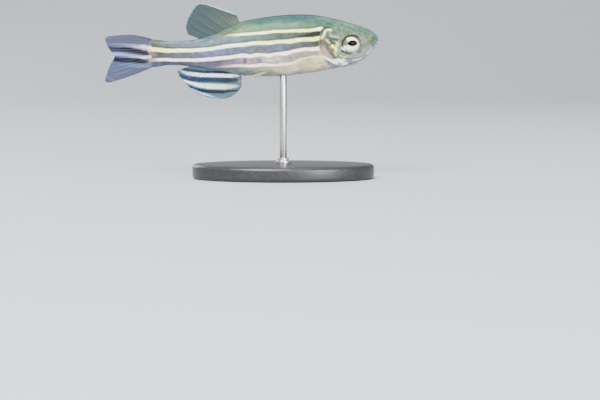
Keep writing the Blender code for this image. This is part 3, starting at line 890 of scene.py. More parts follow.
headForm = {
    "eye": (4.03, 0.22),
    "eyeOpening": (1.30, 1.11),
    "socketDepth": 0.80,
    "socketSlope": 0.09,  # how far the skin falls towards the eye
    "rim": (0.02, 0.34, 0.16),  # rise of the rim, its distance from the opening and its width
    "mouthFront": (-0.05, 0.66),
    "mouthCorner": (1.40, -0.42),
    "mouthDepth": 0.10,
    "mouthWidth": 0.055,
    "lipRise": 0.05,
    "nostrils": ((2.02, 1.92), (2.42, 2.08)),
    "nostrilSize": 0.12,
    "nostrilDepth": 0.16,
    "nostrilRim": 0.05,
    # edges: rise, groove, reach of the rise, strength of the painted shade in the groove, and the drawn
    # line
    "edges": (
        (0.08, 0.05, 1.1, 0.55, (  # gill cover
            (6.9, 2.75), (7.7, 2.45), (8.15, 1.9), (8.42, 1.1), (8.50, 0.2), (8.45, -0.7), (8.2, -1.45),
            (7.6, -2.08), (6.8, -2.55), (5.9, -2.98), (5.0, -3.20), (4.0, -3.05),
        )),
        (0.05, 0.03, 0.7, 0.22, (  # its inner plate
            (5.6, 1.55), (6.1, 0.9), (6.3, 0.0), (6.2, -0.9), (5.7, -1.75), (4.8, -2.3), (3.6, -2.35),
        )),
        (0.03, 0.03, 0.3, 0.12, (  # jaw
            (1.40, -0.42), (1.75, -0.90), (1.72, -1.35),
        )),
        (0.03, 0.03, 0.5, 0.18, (  # cheek
            (2.0, -0.85), (2.9, -1.45), (4.0, -1.62), (5.0, -1.3), (5.55, -0.4),
        )),
    ),
    "gillRays": 26,
    "gillRayRise": 0.025,
    "scaleStart": (
        (7.2, 4.9), (7.6, 4.2), (8.0, 3.3), (8.25, 2.5), (8.60, 1.7), (8.80, 0.9), (8.85, 0.1),
        (8.75, -0.8), (8.45, -1.75), (7.75, -2.6), (6.9, -3.3), (6.3, -4.0),
    ),
}
# marks on the head by colour: a drawn line or the middle of a spot, its half width or half sizes,
# and how soft its edge is
headMarks = {
    # a painted highlight along the top of the head
    "topHighlight": ((((6.6, 3.74), (5.7, 3.50), (5.0, 3.30), (4.4, 3.12), (4.0, 3.00)), 0.12, 0.22),),
    "deep": (
        (((2.0, 2.50), (1.3, 2.15), (0.8, 1.80), (0.45, 1.45), (0.22, 1.02), (0.30, 0.65)), 0.14, 0.22),
    ),
    "green": (
        ((8.25, 2.14), (0.26, 0.34), 0.4), ((7.50, 2.70), (0.62, 0.16), 0.6),
        (((7.42, 1.18), (7.00, 1.06), (6.45, 0.96), (6.05, 0.92)), 0.14, 0.13),
        ((7.06, 0.74), (0.18, 0.36), 0.5), ((6.78, 0.34), (0.40, 0.20), 0.6),
    ),
    "moss": (
        ((6.70, 2.05), (0.22, 0.46), 0.6), ((7.52, 1.62), (0.28, 0.50), 0.5),
        ((6.50, 0.55), (0.55, 0.38), 0.6),
    ),
    "tan": (
        (((5.35, 0.95), (5.05, 1.15), (4.86, 1.26)), 0.10, 0.12), ((8.25, 0.58), (0.50, 0.36), 0.5),
        ((5.25, 0.42), (0.50, 0.52), 0.6),
    ),
    # a painted shadow arching over the top of the eye
    "browShadow": (
        (
            (
                (4.86, 1.26), (4.60, 1.42), (4.32, 1.52), (4.02, 1.55), (3.70, 1.52), (3.35, 1.43),
                (3.02, 1.26),
            ),
            0.12, 0.09,
        ),
    ),
    "shadow": (
        (((5.34, -0.72), (4.90, -0.94), (4.40, -1.09), (3.85, -1.15)), 0.13, 0.11),
        (
            (
                (3.95, -1.14), (3.50, -1.04), (3.10, -0.88), (2.78, -0.62), (2.60, -0.15), (2.55, 0.25),
                (2.60, 0.70), (2.80, 1.02), (3.02, 1.24),
            ),
            0.02, 0.09,
        ),
    ),
    "umber": (
        (
            ((7.64, 0.34), (7.52, -0.30), (7.32, -0.75), (6.98, -1.08), (6.70, -1.42), (6.40, -1.68)), 0.20,
            0.16,
        ),
    ),
    "rose": (
        ((7.72, -1.15), (0.46, 0.50), 0.5), ((8.02, -0.72), (0.34, 0.45), 0.5),
        ((7.28, -1.52), (0.38, 0.25), 0.5),
    ),
    "sage": (
        (((7.02, 2.15), (7.10, 1.75), (7.02, 1.50)), 0.07, 0.10), ((6.35, 0.62), (0.15, 0.15), 0.6),
        ((5.80, -0.95), (0.24, 0.75), 0.6),
    ),
    "mist": ((((7.05, 1.54), (6.70, 1.38), (6.20, 1.29), (5.85, 1.25)), 0.10, 0.10),),
    "pale": (
        ((5.90, 0.30), (0.26, 0.34), 0.7), ((4.10, -1.55), (0.70, 0.20), 0.7),
        ((3.20, -1.35), (0.70, 0.30), 0.7), ((1.80, -0.70), (0.60, 0.50), 0.7),
        ((2.35, -1.40), (0.55, 0.34), 0.7), ((1.20, -0.20), (0.32, 0.26), 0.7),
    ),
    "lavender": (
        ((4.25, -2.35), (0.50, 0.38), 0.6), ((3.45, -2.32), (0.50, 0.26), 0.6),
        (
            (
                (3.2, -2.42), (2.60, -2.15), (1.98, -1.76), (1.50, -1.32), (1.05, -0.82), (0.72, -0.36),
                (0.42, 0.10), (0.24, 0.45),
            ),
            0.19, 0.18,
        ),
    ),
    "cream": (
        (((7.66, 0.86), (7.45, 0.62), (7.18, 0.44)), 0.09, 0.11),
        (((6.13, 0.42), (6.12, 0.05), (6.26, -0.55), (6.30, -1.00), (6.24, -1.35)), 0.12, 0.12),
        (((8.62, -0.50), (8.52, -0.95), (8.36, -1.32), (8.12, -1.56)), 0.13, 0.12),
        (((5.62, -1.42), (5.20, -1.58), (4.72, -1.62)), 0.07, 0.11),
    ),
    "silver": (
        (
            ((8.15, -1.60), (7.85, -1.77), (7.50, -1.93), (7.15, -2.10), (6.80, -2.25), (6.40, -2.45)),
            0.17, 0.13,
        ),
        ((5.72, -2.16), (0.86, 0.28), 0.5), ((6.25, -2.50), (0.34, 0.20), 0.6),
        ((4.98, -2.60), (0.50, 0.26), 0.5), (((6.00, -2.98), (5.50, -2.94), (5.05, -2.86)), 0.07, 0.08),
        (((3.70, -2.02), (3.25, -2.04), (2.80, -1.96), (2.40, -1.78)), 0.05, 0.15),
        (((1.75, -1.18), (1.38, -0.92), (1.10, -0.66), (0.88, -0.42)), 0.03, 0.11),
        (((5.44, -0.30), (5.20, -0.44), (4.96, -0.66)), 0.05, 0.07),
    ),
    "bright": (
        (
            (
                (8.38, 1.10), (8.15, 1.38), (7.96, 1.72), (7.88, 2.05), (7.65, 2.27), (7.28, 2.33),
                (6.95, 2.27),
            ),
            0.09, 0.11,
        ),
        (((6.80, -0.02), (6.46, -0.24), (6.22, -0.62)), 0.15, 0.15),
    ),
}


def bellCurve(distance, width):
    return np.exp(-((distance / width) ** 2))


def headRelief(behind, height, angle):
    # how far the head's forms lift the skin, in millimetres, and how strongly painted shade darkens the
    # creases between them
    form = headForm
    lift, creaseShade = np.zeros(np.shape(behind)), np.zeros(np.shape(behind))

    # eye opening with its raised rim, and painted shade round its edge except at the rear
    eye, (wide, tall) = form["eye"], form["eyeOpening"]
    fromEye = (np.hypot((behind - eye[0]) / wide, (height - eye[1]) / tall) - 1) * (wide + tall) / 2
    rise, away, width = form["rim"]
    lift -= form["socketDepth"] * smoothStep(fromEye, 0.03, -0.10)
    lift -= form["socketSlope"] * bellCurve(np.maximum(fromEye, 0), width)
    lift += rise * bellCurve(fromEye - away, width)
    creaseShade += 0.30 * bellCurve(fromEye, 0.06) * smoothStep(behind, 5.2, 4.4)

    # mouth and lips, with painted shade in the mouth's slit
    front = form["mouthFront"]
    along = np.subtract(form["mouthCorner"], front)
    length = np.hypot(*along)
    reach = ((behind - front[0]) * along[0] + (height - front[1]) * along[1]) / length
    off = ((height - front[1]) * along[0] - (behind - front[0]) * along[1]) / length
    inside = smoothStep(reach, length + 0.08, length - 0.10)
    lift -= form["mouthDepth"] * inside * bellCurve(off, form["mouthWidth"])
    creaseShade += 0.55 * inside * bellCurve(off, 0.05)
    lips = bellCurve(off - 0.15, 0.09) + 0.9 * bellCurve(off + 0.16, 0.10)
    lift += form["lipRise"] * smoothStep(reach, length + 0.10, length - 0.35) * lips

    # nostrils: a pit with a rim, the front one smaller, with painted shade in each pit
    for number, (pitBehind, pitHeight) in enumerate(form["nostrils"]):
        size = form["nostrilSize"] + 0.03 * number
        fromPit = np.hypot(behind - pitBehind, height - pitHeight)
        lift += form["nostrilRim"] * bellCurve(fromPit - size - 0.04, 0.05)
        lift -= form["nostrilDepth"] * bellCurve(fromPit, size)
        creaseShade += 0.7 * bellCurve(fromPit, size * 0.8)

    # gill cover, its inner plate, jaw and cheek, with painted shade in the groove along each edge
    for rise, groove, spread, dark, line in form["edges"]:
        signed, reach = lineDistance(behind, height, drawnCurve(line))
        fade = smoothStep(reach, 0.0, 0.12) * smoothStep(reach, 1.0, 0.88)
        step = smoothStep(-signed, -0.02, 0.05)
        lift += fade * (rise * step * bellCurve(np.maximum(-signed, 0), spread))
        lift -= fade * groove * bellCurve(0.07 - signed, 0.08)
        creaseShade += fade * dark * bellCurve(0.05 - signed, 0.06)

    # rays of the gill membrane under the cheek
    under = smoothStep(height, -2.2, -2.7) * smoothStep(behind, 2.2, 3.2) * smoothStep(behind, 7.4, 6.4)
    lift += form["gillRayRise"] * under * np.cos(angle * form["gillRays"])
    return lift, np.clip(creaseShade, 0, 1)


def markHead(behind, height):
    marks = {}
    for name, places in headMarks.items():
        masks = []
        for where, size, soft in places:
            if isinstance(size, tuple):
                ring = np.hypot((behind - where[0]) / size[0], (height - where[1]) / size[1])
                masks.append(smoothStep(ring, 1.15 + soft, 1 - soft))
            else:
                signed, _ = lineDistance(behind, height, drawnCurve(where))
                masks.append(smoothStep(np.abs(signed), size + soft * 1.6, size - soft * 1.2))
        marks[name] = np.max(masks, axis=0)
    return marks


def headLimit(behind, height):
    # plus inside the head, minus on the scaled body
    signed, _ = lineDistance(behind, height, drawnCurve(headForm["scaleStart"]))
    return -signed


skinMesh = {
    "headRings": 210,
    "bodyRings": 175,
    "around": 168,
    "headEnd": 9.4,
    "tailEnd": 33.75,
    "crowding": 1.45,  # how closely the rings stand towards the snout
    # swellings: rise, distance behind the snout, and half length
    "finFoot": (0.12, 9.55, 0.7),
    "vent": (0.18, 19.7, 0.45),
}


def makeSkin(material):
    form = skinMesh
    headRings, bodyRings = form["headRings"], form["bodyRings"]
    rings = headRings + bodyRings
    keep = {}

    def shape(across, along):
        ring = across * rings
        inHead = np.minimum(ring / headRings, 1) ** form["crowding"] * form["headEnd"]
        inBody = np.maximum(ring - headRings, 0) / bodyRings * (form["tailEnd"] - form["headEnd"])
        behind, angle = inHead + inBody, along * 2 * math.pi
        _, height = crossSection(behind, angle)
        lift, creaseShade = headRelief(behind, height, angle)
        # flesh at the foot of the pectoral fin, and the vent
        rise, middle, reach = form["finFoot"]
        lift += rise * bellCurve(np.hypot((behind - middle) / reach, (height + 1.75) / 0.8), 1.0)
        rise, middle, reach = form["vent"]
        lift += rise * bellCurve(np.hypot((behind - middle) / reach, (angle - math.pi) / 0.25), 1.0)
        points = onBody(behind, angle, lift)
        # the snout's tip is one point, and the tail's end is closed on the midline
        points[across < 0.5 / rings] = place(np.zeros(1), np.zeros(1), np.full(1, bodyOutline[0][1]))[0]
        midline = place(behind, 0 * behind, height)[:, 1]
        points[:, 1] = np.where(across > 1 - 0.5 / rings, midline, points[:, 1])
        keep["headMark"] = smoothStep(headLimit(behind, height), -0.05, 0.25)
        # how much painted shade each point takes in the head's creases
        keep["creaseShadeMark"] = creaseShade
        # the marks of the two sides fade out before they meet on crown and chin
        flank = smoothStep(np.abs(np.cos(angle)), 0.985, 0.80)
        for name, mask in markHead(behind, height).items():
            keep[name + "Mark"] = mask * flank
        # the throat is paler towards the midline below
        keep["throatMark"] = smoothStep(-np.cos(angle), 0.75, 0.97) * keep["headMark"]
        return points

    skin = shapedGrid("skin", rings, form["around"], shape)
    for name, values in keep.items():
        addAttribute(skin, name, values)
    closeSeams(skin)
    replaced = ("head", "trunk", "tail", "gill_cover_left", "gill_cover_right")
    finishPiece(skin, material, replaced)
    skin.data.uv_layers[0].name = "OFBake"
    print("skin:", len(skin.data.polygons), "faces")


# The scales: rows of thin plates that overlap towards the tail

scaleForm = {
    "rowsAround": 26,
    "start": 6.6,
    "end": 33.35,
    "spacingFront": 0.92,
    "spacingRear": 0.70,
    "narrowing": (18, 15),  # where the spacing starts to fall, and over what length
    "overlap": 1.55,  # a plate's length for each step to the next
    "width": 1.30,
    "sunkFront": -0.035,
    "raisedRear": 0.024,
    "crown": 0.006,
    "uneven": 0.005,
    "thickness": 0.02,
    "rows": (0, 0.28, 0.55, 0.78, 0.92, 1.0),  # places of a plate's points along it
    "columns": 5,
    "lengthSpread": (0.97, 0.06),
    "headGap": -0.12,
    "patch": 0.003,  # size of a scale's patch on the baking map
    "seed": 7,
}


def plateFaces(rows, columns):
    # quads of the outer face, the inner face and the rim between them
    def cell(i, j):
        return i * columns + j

    count, lastRow, lastColumn = rows * columns, rows - 1, columns - 1
    outer = [
        (cell(i, j), cell(i, j + 1), cell(i + 1, j + 1), cell(i + 1, j))
        for i in range(lastRow) for j in range(lastColumn)
    ]
    rim = [cell(0, j) for j in range(columns)] + [cell(i, lastColumn) for i in range(1, rows)]
    rim += [cell(lastRow, j) for j in range(columns - 2, -1, -1)]
    rim += [cell(i, 0) for i in range(rows - 2, 0, -1)]
    inner = [tuple(k + count for k in reversed(face)) for face in outer]
    wall = [(b, b + count, a + count, a) for a, b in zip(rim, rim[1:] + rim[:1])]
    return np.array(outer + inner + wall)


def makeScales(material):
    form = scaleForm
    random = np.random.default_rng(form["seed"])
    u, v = np.meshgrid(form["rows"], np.linspace(-1, 1, form["columns"]), indexing="ij")
    rounded = np.sqrt(np.maximum(1 - ((u - 0.4) / 0.62) ** 2, 0.01))
    halfWidth = np.where(u > 0.4, rounded, 0.75 + 0.25 * u / 0.4)
    template = plateFaces(*u.shape)
    rimEdge = smoothStep(u, 0.80, 1.0) + smoothStep(np.abs(v), 0.85, 1.0) * smoothStep(u, 0.3, 0.6)
    plateEdge = np.tile(np.clip(rimEdge, 0, 1).ravel(), 2)

    verts, faces, uvs = [], [], []
    front, rear, (narrowFrom, narrowOver) = form["spacingFront"], form["spacingRear"], form["narrowing"]
    shortest, spread = form["lengthSpread"]
    for row in range(form["rowsAround"]):
        angle = 2 * math.pi * (row + 0.5) / form["rowsAround"]
        behind = form["start"] + (0.5 if row % 2 else 0.0) * front
        while behind < form["end"]:
            spacing = front + (rear - front) * max(0, behind - narrowFrom) / narrowOver
            _, height = crossSection(np.array([behind]), np.array([angle]))
            if headLimit(np.array([behind]), height)[0] < form["headGap"]:
                length = spacing * form["overlap"] * (shortest + spread * random.random())
                b = np.minimum(behind + u * length, form["end"] + 0.35)
                a = angle + v * halfWidth * form["width"] * math.pi / form["rowsAround"]
                rise = (form["raisedRear"] - form["sunkFront"]) * smoothStep(u, 0.0, 0.75)
                lift = form["sunkFront"] + rise
                lift = lift + form["crown"] * (1 - v**2) + form["uneven"] * random.random()
                faces.append(template + len(verts) * 2 * u.size)
                verts.append(np.concatenate([
                    onBody(b, a, face).reshape(-1, 3) for face in (lift, lift - form["thickness"])
                ]))
                patch = np.stack([
                    behind / skinMesh["tailEnd"] + (u - 0.5) * form["patch"],
                    angle / (2 * math.pi) + v * halfWidth * form["patch"] / 2,
                ], -1)
                uvs.append(np.tile(patch.reshape(-1, 2), (2, 1)))
            behind += spacing
    mesh = bpy.data.meshes.new("scales")
    allVerts, allFaces = np.concatenate(verts), np.concatenate(faces)
    mesh.from_pydata(allVerts.tolist(), [], allFaces.tolist())
    scales = bpy.data.objects.new("scales", mesh)
    bpy.context.collection.objects.link(scales)
    addAttribute(scales, "scaleEdge", np.tile(plateEdge, len(verts)))
    layer = mesh.uv_layers.new(name="OFBake")
    layer.data.foreach_set("uv", np.concatenate(uvs)[allFaces.ravel()].ravel())
    makeActive(scales)
    selectForEdit()
    bpy.ops.mesh.normals_make_consistent(inside=False)
    backToObject()
    finishPiece(scales, material, sharpOver=40)
    print("scales:", len(verts), "plates,", len(mesh.polygons), "faces")


# The eyes

eyeForm = {
    "centre": (4.03, 1.46, 0.22),
    "halfSize": (1.34, 0.84, 1.15),
    "turn": 0.16,  # how much further out its rear is
    "pupil": (0.73, 0.44),
    "pupilShift": (-0.20, 0.16),
    "lensRise": 0.08,
    "fleckSize": 0.12,
    # the olive wedge behind the pupil: its start, tilt, height, opening and half height
    "wedge": (0.41, 0.31, 0.19, 0.46, 0.38),
    "wedgeStrength": 0.96,
    "wedgeRaggedness": 0.5,
    "specular": 0.05,
    "coat": 0.03,
    "iris": (0.98, 0.98, 0.95),
    "irisUpper": (0.98, 0.96, 0.74),
    "irisRear": (0.30, 0.28, 0.21),
    # colour of the painted shade round the eye's outer rim
    "rim": (0.20, 0.20, 0.15),
    "ring": (0.62, 0.54, 0.34),
    "black": (0.012, 0.011, 0.010),
    "brown": (0.12, 0.085, 0.05),
}


def eyeFinish():
    form = eyeForm
    finish = Finish("pale iris and black pupil")
    finish.fishPlace()
    mix, ramp, fall, shade = finish.mix, finish.ramp, finish.fall, finish.shade
    plus, minus, times = finish.plus, finish.minus, finish.times
    across = minus(finish.behind, form["centre"][0])
    up = minus(finish.height, form["centre"][2])

    def ringOf(first, second):
        return finish.math("SQRT", plus(times(first, first), times(second, second)))

    pupilRing = ringOf(*(
        finish.math("DIVIDE", minus(way, shift), size)
        for way, shift, size in zip((across, up), form["pupilShift"], form["pupil"])
    ))
    fleck = finish.noise(form["fleckSize"], 3.0)
    # pale below and creamy above
    colour = mix(ramp(up, -0.2, 0.9), form["iris"], form["irisUpper"])
    colour = shade(colour, ramp(fleck, 0.35, 0.7, 1.0, 0.84))
    # an olive wedge behind the pupil opens towards the rear
    start, tilt, rise, opening, halfHeight = form["wedge"]
    past = minus(across, start)
    middle = plus(times(past, tilt), rise)
    half = plus(times(past, opening), halfHeight)
    wedge = minus(half, finish.math("ABSOLUTE", minus(up, middle)))
    wedge = plus(wedge, finish.sway(fleck, form["wedgeRaggedness"]))
    wedge = times(ramp(wedge, -0.08, 0.12), ramp(past, -0.12, 0.10))
    rear = shade(form["irisRear"], ramp(fleck, 0.3, 0.7, 1.25, 0.75))
    colour = mix(times(wedge, form["wedgeStrength"]), colour, rear)
    colour = mix(ramp(fleck, 0.56, 0.80, 0.0, 0.30), colour, rear)
    # painted shade on the outer rim, strongest at the top, and a thin ring round the pupil
    rim = times(ramp(ringOf(across, up), 0.98, 1.14), ramp(up, -0.2, 1.0, 0.15, 0.8))
    colour = mix(rim, colour, form["rim"])
    halo = ramp(finish.math("ABSOLUTE", minus(pupilRing, 1.06)), 0.01, 0.10, 0.5, 0.0)
    colour = mix(halo, colour, form["ring"])
    pupil = mix(ramp(across, -0.70, -0.05), form["brown"], form["black"])
    return finish.surface({
        "Base Color": mix(fall(pupilRing, 0.94, 1.05), colour, pupil),
        "Metallic": ramp(pupilRing, 1.0, 1.1, 0.0, 0.12),
        "Roughness": ramp(fleck, 0.3, 0.7, 0.10, 0.3),
        "Specular IOR Level": form["specular"],
        "Coat Weight": form["coat"],
        "Coat Roughness": form["coat"],
    })


def makeEyes(material):
    form = eyeForm
    long, deep, tall = form["halfSize"]
    middle, out, level = form["centre"]
    shiftBack, shiftUp = form["pupilShift"]
    for side, sign in sides:
        deselectAll()
        bpy.ops.mesh.primitive_uv_sphere_add(segments=64, ring_count=40, radius=1)
        eye = newest("eyeball_" + side)
        # the poles face outwards and inwards, and the lens swells over the pupil
        x, y, z = pointsOf(eye)
        behind, height, outward = x * long, y * tall, z * deep
        fromPupil = np.hypot(behind - shiftBack, height - shiftUp)
        lens = np.where(z > 0, form["lensRise"] * smoothStep(fromPupil, 0.75, 0.1), 0)
        outward = outward + form["turn"] * behind + lens
        points = place(middle + behind, sign * (out + outward), level + height)
        eye.data.vertices.foreach_set("co", points.ravel())
        closeSeams(eye)
        finishPiece(eye, material, ("eye_" + side,))
    print("eyes")


# The fins: one thin sheet each, with branching rays raised in its surface

finForm = {
    "membrane": 0.045,
    "rayRoot": 0.24,
    "rayTip": 0.07,
    "rayWidth": (0.17, 0.09),  # at the root, and how much narrower at the tip
    "firstRay": 0.08,  # how much wider the first ray is
    "columnsPerRay": 11,
    "rows": 54,
    "branchStart": 0.45,
    "branchSpread": 0.24,
    "ripple": 0.06,
    "notch": 0.022,  # depth of the notches between the rays' tips
    "tuckedIn": 0.35,  # how far the root reaches into the flesh
}

# key rays, front to rear: the root's place along the body, or its height at the tail's end,
# then the tip's place and height
dorsalRays = (
    (20.28, 20.94, 4.62), (20.87, 23.09, 5.40), (21.46, 26.49, 6.32),
    (23.09, 27.90, 4.74), (24.72, 28.45, 2.95), (25.90, 28.20, 1.75),
)
analRays = (
    (20.20, 20.10, -5.50), (20.60, 20.45, -6.50), (21.05, 22.05, -7.70), (22.50, 24.40, -7.80),
    (24.00, 26.80, -7.05), (25.50, 28.60, -5.50), (26.50, 29.50, -4.35), (27.10, 29.75, -3.65),
)
caudalRays = (
    (0.80, 35.05, 1.34), (0.74, 36.60, 1.66), (0.55, 40.25, 1.35), (0.00, 40.30, 0.25),
    (-0.55, 39.75, -0.75), (-1.05, 39.15, -1.60),
    (-1.60, 39.70, -2.65), (-2.15, 40.30, -4.00), (-2.70, 40.25, -5.50), (-2.95, 35.60, -4.10),
)
# paired fins: the root's place along the body and degrees round from the back, then the tip
pectoralRays = (
    (9.45, 112, (14.6, 4.3, -2.3)), (9.50, 117, (15.6, 4.1, -3.1)),
    (9.55, 122, (14.9, 3.8, -3.9)), (9.60, 127, (12.9, 3.2, -4.2)),
)
pelvicRays = (
    (16.2, 146, (19.3, 2.5, -4.6)), (16.6, 150, (20.6, 2.2, -5.1)),
    (17.0, 155, (20.3, 1.7, -5.4)), (17.4, 160, (19.3, 1.2, -5.4)),
)


def rayRidges(across, along, rays):
    # 1 on the middle of a ray, 0 on the membrane: each ray but the first two parts into branches
    place = across * (rays - 1)
    nearest = np.round(place)
    off = place - nearest
    apart = finForm["branchSpread"] * smoothStep(along, finForm["branchStart"], 1.0)
    branching = np.where(nearest < 2, 0, apart)
    widest, narrower = finForm["rayWidth"]
    width = widest - narrower * along + np.where(nearest < 1, finForm["firstRay"], 0)
    return np.maximum(bellCurve(off - branching, width), bellCurve(off + branching, width))


def makeFin(name, roots, tips, rays, material, nodes, bow=(0, 0, 0)):
    form = finForm
    keys = range(len(roots))
    rootAt, tipAt = smoothCurve(keys, roots), smoothCurve(keys, tips)
    keep = {}

    def shape(across, along):
        key = across * keys[-1]
        ridge = rayRidges(across, along, rays)
        # the far edge is a little notched between the rays
        reach = along * (1 - form["notch"] * (1 - ridge) * smoothStep(along, 0.8, 1.0))
        point = rootAt(key) * (1 - reach[:, None]) + tipAt(key) * reach[:, None]
        point += np.array(bow) * (np.sin(math.pi * across) * along**2)[:, None]
        wave = np.sin(across * rays * 1.3 + along * 4.0)
        point[:, 1] += form["ripple"] * wave * smoothStep(along, 0.2, 1.0)
        rayHeight = form["rayRoot"] + (form["rayTip"] - form["rayRoot"]) * along
        thick = form["membrane"] + rayHeight * ridge
        keep.update(ray=ridge, along=along, across=across)
        keep["thick"] = thick * (0.35 + 0.65 * smoothStep(along, 1.0, 0.93))
        return place(*point.T)

    fin = shapedGrid(name, (rays - 1) * form["columnsPerRay"], form["rows"], shape)
    for attribute in ("ray", "along", "across"):
        addAttribute(fin, attribute, keep[attribute])
    thickest = float(keep["thick"].max())
    group = fin.vertex_groups.new(name="thickness")
    for index, thick in enumerate(keep["thick"].tolist()):
        group.add([index], thick / thickest, "REPLACE")
    solid = fin.modifiers.new("thickness", "SOLIDIFY")
    solid.thickness = thickest * mm
    solid.offset = 0
    solid.vertex_group = group.name
    applyModifiers(fin)
    fin.vertex_groups.clear()
    finishPiece(fin, material, nodes)


# colours of membrane and rays, and how solid each is
finLook = {
    "dorsal": ((0.12, 0.20, 0.20), (0.14, 0.22, 0.22), 0.68, 0.10),
    "anal": ((0.16, 0.27, 0.33), (0.24, 0.35, 0.40), 0.62, 0.2),
    "caudal": ((0.13, 0.17, 0.29), (0.25, 0.29, 0.40), 0.60, 0.2),
    "paired": ((0.70, 0.70, 0.58), (0.78, 0.76, 0.64), 0.06, 0.14),
}
finSurface = {
    "Roughness": 0.42,
    "Specular IOR Level": 0.12,
    "Coat Weight": 0.05,
    "Coat Roughness": 0.25,
}
finDetail = {
    "wobble": (0.9, 0.18),  # size and strength
    "fleck": 0.16,
    "raggedness": 0.22,
    "joints": 0.9,
    "bump": 0.3,
    "bumpDepth": 0.00003,
    # colour, and how far the colour at a root reaches up and back
    "dorsalRoot": ((0.34, 0.37, 0.27), 0.9, 0.7),
    "caudalRoot": (tailRoot, 0.22, 2.0),
    # colour of the dorsal fin's rim, and how far back it stays bright
    "dorsalRim": ((0.80, 0.90, 0.95), 0.44),
}


def finFinish(name, kind, bands=(), rim=None, root=None):
    look = finDetail
    finish = Finish(name)
    finish.fishPlace()
    mix, ramp, times = finish.mix, finish.ramp, finish.times
    size, strength = look["wobble"]
    wobble = finish.sway(finish.noise(size), strength)
    fleck = finish.noise(look["fleck"], 2.0, (0.5, 1, 1))
    ragged = finish.sway(fleck, look["raggedness"])
    ray, along, across = (finish.attribute(key) for key in ("ray", "along", "across"))
    membrane, rays, thin, thicker = finLook[kind]
    colour = mix(ramp(ray, 0.2, 0.9), membrane, rays)
    solidness = finish.plus(thin, ramp(ray, 0.15, 0.85, 0.0, thicker))
    if root:
        paint, high, rear = root
        mask = times(ramp(along, 0.0, high, 0.8, 0.0), ramp(across, rear, rear - 0.7))
        colour = mix(mask, colour, paint)
        solidness = finish.math("MAXIMUM", solidness, mask)
    for stops, soft, opacity, line in bands:
        mask = finish.band(line, soft, wobble, ragged)
        strength = times(mask, ramp(fleck, 0.15, 0.45, 0.80, 1.0))
        paint = finish.shade(finish.alongBody(stops), ramp(ray, 0.2, 0.9, 0.70, 0.82))
        colour = mix(strength, colour, paint)
        solidness = finish.math("MAXIMUM", solidness, times(mask, opacity))
    if rim:
        # a thin rim that is brightest near the front and fades to the rear
        paint, rear = rim
        strength = times(ramp(across, -0.04, 0.08, 0.5, 1.0), ramp(across, 0.14, rear, 1.0, 0.28))
        outer = ramp(finish.plus(along, times(across, -0.05)), 0.925, 0.955)
        mask = times(times(outer, strength), ramp(fleck, 0.30, 0.55, 0.75, 1.0))
        colour = mix(mask, colour, paint)
        solidness = finish.math("MAXIMUM", solidness, mask)
    joints = finish.node("ShaderNodeTexWave", wave_type="BANDS", bands_direction="X")
    finish.link(finish.inMillimetres, joints.inputs["Vector"])
    finish.link(look["joints"], joints.inputs["Scale"])
    jointed = times(joints.outputs["Fac"], ray)
    return finish.surface({
        "Base Color": colour,
        "Alpha": finish.math("MINIMUM", solidness, 1.0),
        "Normal": finish.bump(jointed, look["bump"], look["bumpDepth"]),
        **finSurface,
    })


def makeFins():
    tucked = finForm["tuckedIn"]

    def edgeAt(behind, side):
        # height of the body's edge in side view: 0 for the back, 1 for the belly
        return float(outlineAt(math.sqrt(behind))[side])

    rim, root = finDetail["dorsalRim"], finDetail["dorsalRoot"]
    dorsal = finFinish("olive dorsal membrane", "dorsal", rim=rim, root=root)
    anal = finFinish("banded anal membrane", "anal", analBands)
    caudal = finFinish("banded tail membrane", "caudal", caudalBands, root=finDetail["caudalRoot"])
    paired = finFinish("clear side membrane", "paired")
    dorsalRoots = [(r, 0, edgeAt(r, 0) - tucked) for r, _, _ in dorsalRays]
    analRoots = [(r, 0, edgeAt(r, 1) + tucked) for r, _, _ in analRays]
    caudalRoots = [(fish["bodyLength"] - tucked, 0, r) for r, _, _ in caudalRays]
    for name, roots, keys, rays, material, node, bow in (
        ("dorsalFin", dorsalRoots, dorsalRays, 9, dorsal, "dorsal_fin", 0),
        ("analFin", analRoots, analRays, 15, anal, "anal_fin", 0),
        ("tailFin", caudalRoots, caudalRays, 19, caudal, "caudal_fin", -0.35),
    ):
        makeFin(name, roots, [(b, 0, h) for _, b, h in keys], rays, material, (node,), (0, bow, 0))
    for side, sign in sides:
        for kind, keys, rays, bow in (
            ("pectoral", pectoralRays, 12, 0.3),
            ("pelvic", pelvicRays, 7, 0.15),
        ):
            roots, tips = [], []
            for behind, degrees, (tipBehind, tipOut, tipHeight) in keys:
                out, height = crossSection(np.array([behind - 0.1]), np.array([math.radians(degrees)]))
                roots.append((behind, sign * (float(out[0]) - 0.12), float(height[0])))
                tips.append((tipBehind, sign * tipOut, tipHeight))
            nodes = (kind + "_fin_" + side,)
            makeFin(kind + "Fin_" + side, roots, tips, rays, paired, nodes, (0, sign * bow, 0))
    print("fins")


# The barbels: two pairs of tapered feelers

barbelForm = {
    "radius": 0.085,
    "tip": 0.25,
    "points": 26,
    "colours": ((0.40, 0.43, 0.35), (0.32, 0.35, 0.28)),
    # behind the snout, degrees round from the back, and height off the skin
    "paths": {
        "rostral_barbel": (
            (0.80, 72, -0.10), (0.95, 73, 0.25), (1.25, 75, 0.50), (1.60, 80, 0.62), (2.00, 88, 0.66),
        ),
        "maxillary_barbel": (
            (1.50, 103, -0.10), (1.75, 105, 0.30), (2.20, 110, 0.55), (2.90, 116, 0.62),
            (3.70, 121, 0.62), (4.40, 126, 0.60),
        ),
    },
}


def barbelFinish():
    finish = Finish("pale feeler")
    finish.fishPlace()
    colour = finish.mix(finish.ramp(finish.noise(0.1), 0.4, 0.7), *barbelForm["colours"])
    return finish.surface({"Base Color": colour, "Roughness": 0.35, "Coat Weight": 0.4})


